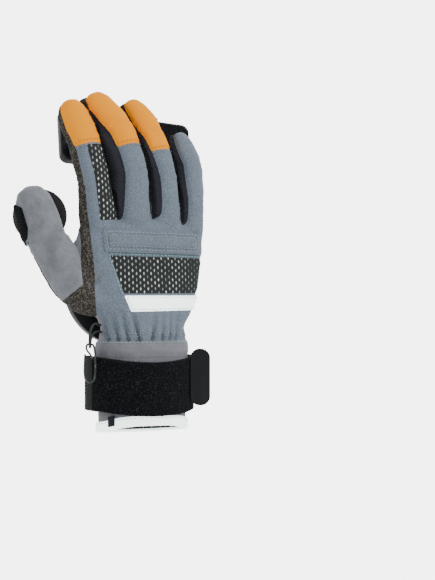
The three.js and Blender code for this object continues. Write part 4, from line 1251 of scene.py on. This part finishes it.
def strap_place(angle, out, up):
    """A point of the strap's oval at degrees round, out of its face and up from its lower edge."""
    c, s = math.cos(math.radians(angle)), math.sin(math.radians(angle))
    drop = STRAP_SAG * (s * s - 0.5)
    return (c * (STRAP_WIDTH / 2 + out) - STRAP_SHIFT, s * (STRAP_DEPTH / 2 + out), STRAP_BOTTOM + up - drop)


def rounded_profile(low, high, bottom, top, corner):
    """A closed rectangle outline with round corners, as (out, up) points."""
    outline = []
    for cx, cy, start in ((high - corner, bottom + corner, -90), (high - corner, top - corner, 0),
                          (low + corner, top - corner, 90), (low + corner, bottom + corner, 180)):
        for k in range(CORNER_STEPS + 1):
            angle = math.radians(start + 90 * k / CORNER_STEPS)
            outline.append((cx + corner * math.cos(angle), cy + corner * math.sin(angle)))
    return outline


def hem_place(angle, out, up):
    """A point of the cuff's edge at degrees round, off the cuff's face and up from the tilted hem."""
    c, s = math.cos(math.radians(angle)), math.sin(math.radians(angle))
    wide, deep = CUFF_ROWS[0]["wide"] * CUFF_WIDTH / 2, CUFF_ROWS[0]["back"] * CUFF_DEPTH / 2
    x, y = c * (wide + out), s * (deep + out)
    return (x, y, up - y * math.tan(math.radians(HEM_TILT)) + float(hem_rise(y)))


class GLOVE_OT_cuff(bpy.types.Operator):
    """Makes the cuff's lining and binding and the hem tab"""

    bl_idname = "glove.cuff"
    bl_label = "Cuff lining and binding"

    def execute(self, context):
        angle = np.arange(HAND_SIDES) * 360 / HAND_SIDES
        hem = np.array([hem_place(a, -LINING_DEPTH, 0.5 * MM)[2] for a in angle])
        top = STRAP_BOTTOM + STRAP_HEIGHT
        lining = np.array([hand_points(hem + (top - hem) * share, angle, -LINING_DEPTH)
                           for share in np.linspace(0, 1, LINING_ROWS)])
        made = mesh_object("cuff_lining_cloth", lining.reshape(-1, 3), grid_faces(LINING_ROWS, HAND_SIDES, False))
        thicken(made, 0.9 * MM)
        shade_smooth(made)
        dress(made, "mesh", "cuff_lining")
        low, high = -2.0 * MM - GAP - BINDING_THICKNESS, GAP + BINDING_THICKNESS
        bottom = -GAP - BINDING_THICKNESS
        outer = [(high * 0.9, bottom + 0.5 * MM), (high, bottom + 1.4 * MM), (high, BINDING_HEIGHT - 0.6 * MM),
                 (high - 0.5 * MM, BINDING_HEIGHT), (GAP, BINDING_HEIGHT), (GAP, -GAP), (-2.2 * MM, -GAP),
                 (-2.2 * MM, 0.2 * MM), (low + 0.4 * MM, 0.2 * MM), (low, -0.2 * MM),
                 (low, bottom + 1.2 * MM), (low + 0.8 * MM, bottom + 0.3 * MM), (0, bottom)]
        made = endless_rings("cuff_binding_tape", carried(hem_place, np.arange(0, 360, 2.5), outer))
        shade_smooth(made, 50)
        dress(made, "reflective", "cuff_binding")
        tab = BODY["whole"].split(hem_tab_field(BODY["whole"]))[0]
        made = cloth_piece("hem_tab_cloth", tab, 1.1 * MM, 0.2 * MM, 3.4 * MM, 1 * MM)
        dress(made, "black_knit", "hem_tab")
        return {"FINISHED"}


def hem_tab_field(sheet):
    """The small tab over the binding on the thumb's side."""
    angle = np.degrees(np.arctan2(sheet.points[:, 1] / CUFF_DEPTH, sheet.points[:, 0] / CUFF_WIDTH)) % 360
    across = ring_distance(angle, HEM_TAB["left"], HEM_TAB["right"], CUFF_WIDTH / 2)
    return np.minimum(across, np.minimum(above_hem(sheet, HEM_TAB["low"]), -above_hem(sheet, HEM_TAB["high"])))


def outward(obj):
    """Turns a closed mesh's faces outwards."""
    with all_selected(obj):
        bpy.ops.mesh.remove_doubles(threshold=1e-7)
        bpy.ops.mesh.normals_make_consistent(inside=False)
    return obj


class GLOVE_OT_wrist_strap(bpy.types.Operator):
    """Wraps the wrist strap: the loop panel over the back, the webbing over the palm and the pull tab"""

    bl_idname = "glove.wrist_strap"
    bl_label = "Wrist strap"

    def execute(self, context):
        web = rounded_profile(-2.6 * MM, 0, 0, STRAP_HEIGHT, 1.1 * MM)
        arc = np.arange(*WEBBING_ARC, 2.5)
        webbing = outward(closed_rings("wrist_strap_webbing", carried(strap_place, arc, web)))
        shade_smooth(webbing, 40)
        dress(webbing, "webbing", "wrist_strap")
        loops = fine_profile(-3.2 * MM, 0.3 * MM, 0.2 * MM, STRAP_HEIGHT - 0.4 * MM)
        arc = np.arange(*LOOP_ARC, 0.9)
        panel = outward(closed_rings("loop_panel_pile", carried(strap_place, arc, loops)))
        roughen(panel, 0.4 * MM, 1.5 * MM)
        shade_smooth(panel, 60)
        dress(panel, "loop", "loop_panel")
        inner = rounded_profile(-5.2 * MM, -2.9 * MM, 2.5 * MM, STRAP_HEIGHT - 2.5 * MM, 0.8 * MM)
        backing = endless_rings("strap_backing", carried(strap_place, np.arange(0, 360, 4), inner))
        shade_smooth(backing, 40)
        dress(backing, "webbing")
        self.pull_tab()
        return {"FINISHED"}

    def pull_tab(self):
        """The rubber tab at the strap's free end: a rounded slab with a raised rim."""
        angle = math.radians(PULL_TAB_ANGLE)
        foot = Vector((math.cos(angle) * STRAP_WIDTH / 2 - STRAP_SHIFT, math.sin(angle) * STRAP_DEPTH / 2,
                       STRAP_BOTTOM + STRAP_HEIGHT / 2 + 0.14 * TAB_HEIGHT))
        made = slab("pull_tab_rubber", TAB_REACH, TAB_HEIGHT, TAB_THICKNESS, 7 * MM, 0.9 * MM, 1.5 * MM)
        set_down(made, foot + VIEW_RIGHT * (TAB_REACH / 2), VIEW_RIGHT.cross(UP), UP)
        dress(made, "rubber", "pull_tab")


def fine_profile(low, high, bottom, top):
    """A closed outline with many points up its outer face, for a rough surface."""
    ups = np.linspace(bottom + 1 * MM, top - 1 * MM, 42)
    outline = [(high - 1.2 * MM, bottom), (high - 0.4 * MM, bottom + 0.3 * MM)]
    outline += [(high, up) for up in ups]
    outline += [(high - 0.4 * MM, top - 0.3 * MM), (high - 1.2 * MM, top), (low, top), (low, bottom)]
    return outline


def roughen(obj, depth, size):
    """Pushes a mesh's vertices in and out by noise."""
    mesh = obj.data
    for vertex in mesh.vertices:
        shift = noise.noise(vertex.co / size) + 0.5 * noise.noise(vertex.co / (0.5 * size))
        vertex.co += vertex.normal * depth * shift
    mesh.update()


def bevel_edges(obj, width, angle):
    """Rounds the edges that are sharper than an angle in degrees."""
    apply_modifier(obj, "BEVEL", width=width, segments=4, limit_method="ANGLE", angle_limit=math.radians(angle))


def slab(name, width, height, thickness, corner, bevel, rim=0.0):
    """A plate with round corners and edges, its face along +Z, and sunk inside a rim where one is given."""
    bpy.ops.object.select_all(action="DESELECT")
    bpy.ops.mesh.primitive_plane_add(size=1, location=(0, 0, 0))
    made = bpy.context.active_object
    made.name = name
    made.scale = (width, height, 1)
    bpy.ops.object.transform_apply(location=False, rotation=False, scale=True)
    with all_selected(made):
        bpy.ops.mesh.bevel(offset=corner, offset_type="OFFSET", segments=8, affect="VERTICES")
        bpy.ops.mesh.select_all(action="SELECT")
        bpy.ops.mesh.extrude_region_move(TRANSFORM_OT_translate={"value": (0, 0, thickness)})
        if rim:
            bpy.ops.mesh.inset(thickness=rim, depth=0)
            bpy.ops.transform.translate(value=(0, 0, -SUNK * thickness))
        bpy.ops.mesh.select_all(action="SELECT")
        bpy.ops.mesh.normals_make_consistent(inside=False)
    bevel_edges(made, bevel, 50)
    shade_smooth(made, 35)
    return made


def set_down(obj, place, face, up):
    """Moves a piece from its own origin: its +Z along face and its +Y as near to up as it can be."""
    z = face.normalized()
    y = (up - z * up.dot(z)).normalized()
    turn = Matrix((y.cross(z), y, z)).transposed().to_4x4()
    obj.data.transform(Matrix.Translation(place) @ turn)
    obj.data.update()


def flat_mount(name):
    """Place and outward direction of one of the record's flat faces."""
    mount = next(m for m in frame["record"]["mounts"] if m["name"] == name)
    return Vector(mount["pos_m"]), Vector(mount["axis"])


def puck(name, diameter, thickness, bevel, place, face):
    """A turned disc with a bevelled rim and a flat back."""
    bpy.ops.object.select_all(action="DESELECT")
    bpy.ops.mesh.primitive_cylinder_add(vertices=128, radius=diameter / 2, depth=thickness,
                                        location=(0, 0, -thickness / 2))
    made = bpy.context.active_object
    made.name = name
    bpy.ops.object.transform_apply(location=True, rotation=False, scale=False)
    bpy.ops.object.mode_set(mode="EDIT")
    bpy.ops.mesh.select_all(action="DESELECT")
    bpy.ops.object.mode_set(mode="OBJECT")
    for polygon in made.data.polygons:
        polygon.select = polygon.normal.z > 0.9
    bpy.ops.object.mode_set(mode="EDIT")
    bpy.ops.mesh.inset(thickness=bevel, depth=0)
    bpy.ops.object.mode_set(mode="OBJECT")
    rim = diameter / 2 - bevel / 2
    for vertex in made.data.vertices:
        if vertex.co.z > -1e-6 and vertex.co.xy.length > rim:
            vertex.co.z = -RIM_DROP * bevel
    bevel_edges(made, 0.7 * MM, 25)
    shade_smooth(made, 30)
    set_down(made, place, face, UP)
    return made


class GLOVE_OT_hard_pads(bpy.types.Operator):
    """Makes the palm puck, the thumb puck and the finger plate, with the pads and patches under them"""

    bl_idname = "glove.hard_pads"
    bl_label = "Pucks and plate"

    def execute(self, context):
        for name, thickness, bevel in PUCKS:
            place, face = flat_mount(f"{name}_face")
            low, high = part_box(name)
            width = high.z - low.z if name == "palm_puck" else THUMB_PUCK_WIDTH
            dress(puck(f"{name}_disc", width, thickness, bevel, place, face), "plastic", name)
        place, face = flat_mount("finger_plate_face")
        roll = math.radians(PLATE_ROLL)
        up = Vector((math.sin(roll), 0, math.cos(roll)))
        plate = slab("finger_plate_slab", PLATE_WIDTH, PLATE_HEIGHT, PLATE_THICKNESS, 6 * MM, 1.4 * MM)
        set_down(plate, place - face * PLATE_THICKNESS, face, up)
        dress(plate, "plastic", "finger_plate")
        hook = slab("plate_hook_pile", HOOK_WIDTH, HOOK_HEIGHT, HOOK_THICKNESS, 6 * MM, 0.3 * MM)
        set_down(hook, place - face * (PLATE_THICKNESS + GAP + HOOK_THICKNESS), face, up)
        dress(hook, "loop", "plate_hook")
        for node in ("index_patch", "middle_patch", "ring_patch", "thumb_patch"):
            made = soft_copy(node)
            if node == "thumb_patch":
                cut_below(made, THUMB_DIGIT, THUMB_PATCH_FROM)
            dress(made, "loop", node)
        self.palm_pad()
        return {"FINISHED"}

    def palm_pad(self):
        """The loop pad sewn on the palm, thickest where the puck meets it."""
        whole = BODY["whole"]
        low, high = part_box("palm_pad")
        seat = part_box("palm_puck")[0].y - GAP
        x, y, z = whole.points.T
        corners = [(low.x + PAD_CORNER[0], low.z), (high.x, low.z), (high.x, high.z), (low.x, high.z),
                   (low.x, low.z + PAD_CORNER[1])]
        pad, _ = whole.split(np.minimum(inside(x, z, corners), y - 5 * MM))
        edge = pad.edge_distance(14 * MM)
        room = np.clip((seat - pad.points[:, 1]) / np.maximum(pad.normals[:, 1], 0.5), *PAD_RANGE)
        lift = PAD_RIM + smoothstep(edge, 1 * MM, 13 * MM) * (room - PAD_RIM)
        dress(cloth_piece("palm_pad_pile", pad, 1.8 * MM, 0.3 * MM, lift, 1 * MM), "loop", "palm_pad")


def soft_copy(node):
    """A copy of a soft CAD node with its edges rounded."""
    made = frame["nodes"][node].copy()
    made.data = made.data.copy()
    made.parent = None
    made.name = f"{node}_pile"
    for key in list(made.keys()):
        del made[key]
    bpy.context.scene.collection.objects.link(made)
    even_out(made, PATCH_VOXEL, PATCH_SMOOTH_ROUNDS)
    shade_smooth(made)
    return made


def cut_below(obj, digit, along):
    """Cuts a closed piece off square to a digit at a place along it, and closes the cut."""
    k = int(round(along * STATIONS))
    with all_selected(obj):
        bpy.ops.mesh.bisect(plane_co=tuple(digit.place[k]), plane_no=tuple(digit.ahead[k]), use_fill=True,
                            clear_inner=True)


def round_wire(name, points, diameter):
    """A curve of one open spline with a round section."""
    curve = bpy.data.curves.new(name, "CURVE")
    curve.dimensions = "3D"
    curve.bevel_depth = diameter / 2
    curve.bevel_resolution = WIRE_STEPS
    curve.use_fill_caps = True
    curve.resolution_u = 8
    spline = curve.splines.new("BEZIER")
    spline.bezier_points.add(len(points) - 1)
    for knot, point in zip(spline.bezier_points, points):
        knot.co = point
        knot.handle_left_type = knot.handle_right_type = "AUTO"
    return new_object(name, curve)


class GLOVE_OT_clip(bpy.types.Operator):
    """Hangs the sprung wire clip on its cord at the wrist"""

    bl_idname = "glove.clip"
    bl_label = "Clip and cord"

    def execute(self, context):
        route = [Vector(p) * MM for p in CORD_ROUTE]
        cord = round_wire("clip_cord_braid", route, CORD_DIAMETER)
        dress(cord, "cord", "clip_cord")
        hang = route[HANG_POINT] + UP * ((CORD_DIAMETER + CLIP_WIRE) / 2 + 2 * GAP)
        wide, long = CLIP_WIDTH - CLIP_WIRE, CLIP_LENGTH - CLIP_WIRE
        points = [hang + VIEW_RIGHT * (a * wide) + UP * ((u - 1) * long) for a, u in CLIP_ROUTE]
        clip = round_wire("clip_wire", points, CLIP_WIRE)
        select_only(clip)
        bpy.ops.object.convert(target="MESH")
        shade_smooth(clip, 50)
        dress(clip, "wire", "clip")
        return {"FINISHED"}


# Stitches


def spaced(points, step):
    """Points at even steps along a polyline."""
    points = np.asarray(points, float)
    lengths = np.concatenate([[0], np.cumsum(np.linalg.norm(np.diff(points, axis=0), axis=1))])
    count = max(1, int(lengths[-1] / step))
    places = np.linspace(0, lengths[-1], count + 1)
    return np.stack([np.interp(places, lengths, points[:, k]) for k in range(3)], 1)


def on_surface(points):
    """The nearest places on the sewn body, and the directions out of it."""
    found = [BODY["tree"].find_nearest(Vector(p)) for p in points]
    return [f[0] for f in found], [f[1] for f in found]


def threads(name, seats, rings, lift, finish):
    """Short rounded threads, each with a seat: its middle, the direction along it and the one out of the cloth."""
    sizes = bpy.context.scene.glove_sizes
    radius = sizes.thread / 2
    points, faces = [], []
    for middle, along, out in seats:
        across = along.cross(out)
        base = len(points)
        for share, thick, rise in rings:
            centre = middle + along * (share * sizes.stitch) + out * (lift + radius * rise)
            for k in range(THREAD_SIDES):
                angle = 2 * math.pi * k / THREAD_SIDES
                points.append(centre + (across * math.cos(angle) + out * math.sin(angle)) * radius * thick)
        end = base + (len(rings) - 1) * THREAD_SIDES
        faces += [tuple(base + i for i in face) for face in grid_faces(len(rings), THREAD_SIDES, False)]
        faces.append(tuple(base + k for k in range(THREAD_SIDES)))
        faces.append(tuple(end + k for k in reversed(range(THREAD_SIDES))))
    made = outward(mesh_object(name, points, faces))
    shade_smooth(made, 60)
    return dress(made, finish)


def stitches(name, lines, finish, lift=0.0):
    """Threads along lines on the body, lying on its surface."""
    seats = []
    for line in lines:
        dots = spaced(line, bpy.context.scene.glove_sizes.stitch * STITCH_PITCH)
        for start, end, place, out in zip(dots[:-1], dots[1:], *on_surface((dots[:-1] + dots[1:]) / 2)):
            along = Vector(end - start)
            seats.append((place, (along - out * along.dot(out)).normalized(), out))
    return threads(name, seats, BODY_THREAD, lift, finish)


def edge_stitches(name, line, finish):
    """Threads along a line round the wrist, on a strap or a binding."""
    dots = spaced(line, bpy.context.scene.glove_sizes.stitch * STITCH_PITCH)
    seats = []
    for start, end in zip(dots[:-1], dots[1:]):
        x, y, _ = (start + end) / 2
        out = Vector((x, y * OVAL, 0)).normalized()
        seats.append((Vector((start + end) / 2), Vector(end - start).normalized(), out))
    return threads(name, seats, EDGE_THREAD, 0.0, finish)


def ring_line(digit, along, left, right):
    """A line across a digit."""
    return digit.points(along, np.linspace(left, right, LINE_POINTS["ring"]))


def run_line(digit, start, end, angle):
    """A line along a digit at one angle."""
    return digit.points(np.linspace(start, end, LINE_POINTS["run"]), angle)


def back_line(corners):
    """A line on the back of the hand through corners in shares of the hand."""
    points = np.array([(a * KNUCKLE_WIDTH, -60 * MM, hand_height(u)) for a, u in corners])
    line = []
    for point in spaced(points, 2 * MM):
        hit = BODY["tree"].ray_cast(Vector(point), Vector((0, 1, 0)))
        if hit[0] is not None and hit[0].y < 20 * MM:
            line.append(hit[0])
    return np.array([tuple(p) for p in line])


def wrist_line(z, left, right, wave=0.0, teeth=0):
    """A line round the wrist at a height, zigzag where wave is given."""
    tooth = np.abs((np.linspace(0, teeth, LINE_POINTS["wrist"]) % 1) * 2 - 1)
    return hand_points(z + wave * tooth, np.linspace(left, right, LINE_POINTS["wrist"]))


def inset_corners(corners, by):
    """Corners moved towards the middle by metres."""
    a = np.array([(x * KNUCKLE_WIDTH, u * HAND_LENGTH) for x, u in corners])
    middle = a.mean(0)
    moved = a - np.sign(a - middle) * by
    return [(x / KNUCKLE_WIDTH, u / HAND_LENGTH) for x, u in moved]


class GLOVE_OT_stitching(bpy.types.Operator):
    """Runs the stitch lines along the seams"""

    bl_idname = "glove.stitching"
    bl_label = "Stitching"

    def execute(self, context):
        pad = [inset_corners(KNUCKLE_PAD, by) for by in (2.3 * MM, 4.6 * MM)]
        stitches("knuckle_stitches", [back_line([*line, line[0]]) for line in pad], "pale_thread", 1.9 * MM)
        outer = inset_corners(BACK_MESH, -1.3 * MM)
        stitches("mesh_stitches", [back_line([outer[2], outer[3], outer[0]])], "teal_thread", 0.1 * MM)
        strip = inset_corners(REFLECTIVE, 1.3 * MM)
        stitches("strip_stitches", [back_line([strip[1], strip[0], strip[3], strip[2]])], "teal_thread", 1.2 * MM)
        for name, finish, shift, beside, turn, right in (
                ("cap_edge_stitches", "pale_thread", -0.012, 0.6, 4, 330),
                ("cap_stitches", "orange_thread", 0.02, 0.63, 3, 334)):
            lines = [ring_line(d, CAP_FROM[d.name] + shift, seam_at(BACK_SEAM[d.name], beside) + turn, right)
                     for d in (INDEX, MIDDLE, RING)]
            stitches(name, lines, finish)
        top = CUFF_LENGTH - BAND_HEIGHT / 2
        stitches("band_stitches", [wrist_line(top - 1.8 * MM, 180, 360)], "teal_thread")
        zigzags = [wrist_line(top + low, 200, 345, 4.5 * MM, 11) for low in (1.6 * MM, 3.6 * MM)]
        stitches("gather_stitches", zigzags, "pale_thread", 0.1 * MM)
        stitches("thumb_stitches", [run_line(THUMB_DIGIT, **THUMB_DARK_SEAM)], "dark_thread")
        binding = [hem_place(a, GAP + BINDING_THICKNESS, BINDING_HEIGHT - 1.4 * MM) for a in np.arange(0, 360, 2)]
        edge_stitches("binding_stitches", binding, "teal_thread")
        for name, up in (("strap_low_stitches", 2.4 * MM), ("strap_high_stitches", STRAP_HEIGHT - 2.4 * MM)):
            edge_stitches(name, [strap_place(a, 0, up) for a in np.arange(-17, 194, 2)], "dark_thread")
        return {"FINISHED"}


# Stage


def add_camera():
    """The camera at the photograph's angle."""
    data = bpy.data.cameras.new("camera")
    data.lens = LENS
    data.sensor_width = 36
    data.clip_start, data.clip_end = 0.05, 20
    camera = new_object("camera", data)
    camera.location = VIEW_RIGHT * FRAME_CENTRE[0] + UP * FRAME_CENTRE[1] + VIEW_BACK * CAMERA_DISTANCE
    camera.rotation_euler = (math.radians(90), 0, VIEW_TURN)
    bpy.context.scene.camera = camera


def add_light(name, place, size, power):
    """A square soft light that faces the glove."""
    data = bpy.data.lights.new(name, "AREA")
    data.energy = power
    data.size = size
    lamp = new_object(name, data)
    lamp.location = place
    lamp.rotation_euler = (LIGHT_AIM - Vector(place)).to_track_quat("-Z", "Y").to_euler()


def add_backdrop():
    """A lit white card far behind the glove, which fills the photograph's frame."""
    bpy.ops.object.select_all(action="DESELECT")
    bpy.ops.mesh.primitive_plane_add(size=BACKDROP_SIZE, location=VIEW_BACK * -BACKDROP_DISTANCE,
                                     rotation=(math.pi / 2, 0, VIEW_TURN))
    card = bpy.context.active_object
    card.name = "backdrop"
    lit = Finish("lit_card", Roughness=1.0, Emission_Strength=BACKDROP_GLOW)
    lit.set("Emission Color", (1, 1, 1))
    card.data.materials.append(lit.material)


class GLOVE_OT_stage(bpy.types.Operator):
    """Sets the floor, the studio lights, the pale surround and the lit card behind the glove"""

    bl_idname = "glove.stage"
    bl_label = "Stage"

    def execute(self, context):
        bpy.ops.object.select_all(action="DESELECT")
        bpy.ops.mesh.primitive_plane_add(size=FLOOR_SIZE, location=(0, 0, FLOOR_HEIGHT))
        floor = context.active_object
        floor.name = "floor"
        plain = Finish("plain_floor", Roughness=0.9)
        plain.set("Base Color", (0.86, 0.86, 0.86))
        floor.data.materials.append(plain.material)
        world = bpy.data.worlds.new("surround")
        context.scene.world = world
        world.use_nodes = True
        sky = world.node_tree.nodes["Background"].inputs
        sky["Color"].default_value = (1, 1, 1, 1)
        sky["Strength"].default_value = SURROUND_STRENGTH
        add_backdrop()
        for light in LIGHTS:
            add_light(**light)
        return {"FINISHED"}


class GLOVE_PT_panel(bpy.types.Panel):
    """Shows the glove's sizes and colours, and a button for each building step, in the sidebar."""

    bl_idname = "GLOVE_PT_panel"
    bl_label = "Slide glove"
    bl_space_type = "VIEW_3D"
    bl_region_type = "UI"
    bl_category = "Glove"

    def draw(self, context):
        layout = self.layout
        for group in (context.scene.glove_sizes, context.scene.glove_colours):
            for name in group.__annotations__:
                layout.prop(group, name)
        for operator in OPERATORS:
            layout.operator(operator.bl_idname)


OPERATORS = [GLOVE_OT_clip, GLOVE_OT_sewn_body, GLOVE_OT_layers, GLOVE_OT_cuff, GLOVE_OT_wrist_strap,
             GLOVE_OT_hard_pads, GLOVE_OT_stitching, GLOVE_OT_stage]
CLASSES = [GloveSizes, GloveColours, *OPERATORS, GLOVE_PT_panel]


def register():
    """Registers the classes and the scene's settings."""
    for cls in CLASSES:
        bpy.utils.register_class(cls)
    bpy.types.Scene.glove_sizes = bpy.props.PointerProperty(type=GloveSizes)
    bpy.types.Scene.glove_colours = bpy.props.PointerProperty(type=GloveColours)


def unregister():
    """Takes the classes and settings away again."""
    del bpy.types.Scene.glove_colours
    del bpy.types.Scene.glove_sizes
    for cls in reversed(CLASSES):
        bpy.utils.unregister_class(cls)


def main():
    """Builds the whole glove."""
    register()
    add_camera()
    make_finishes()
    for operator in OPERATORS:
        group, name = operator.bl_idname.split(".")
        getattr(getattr(bpy.ops, group), name)()


if __name__ == "__main__":
    main()
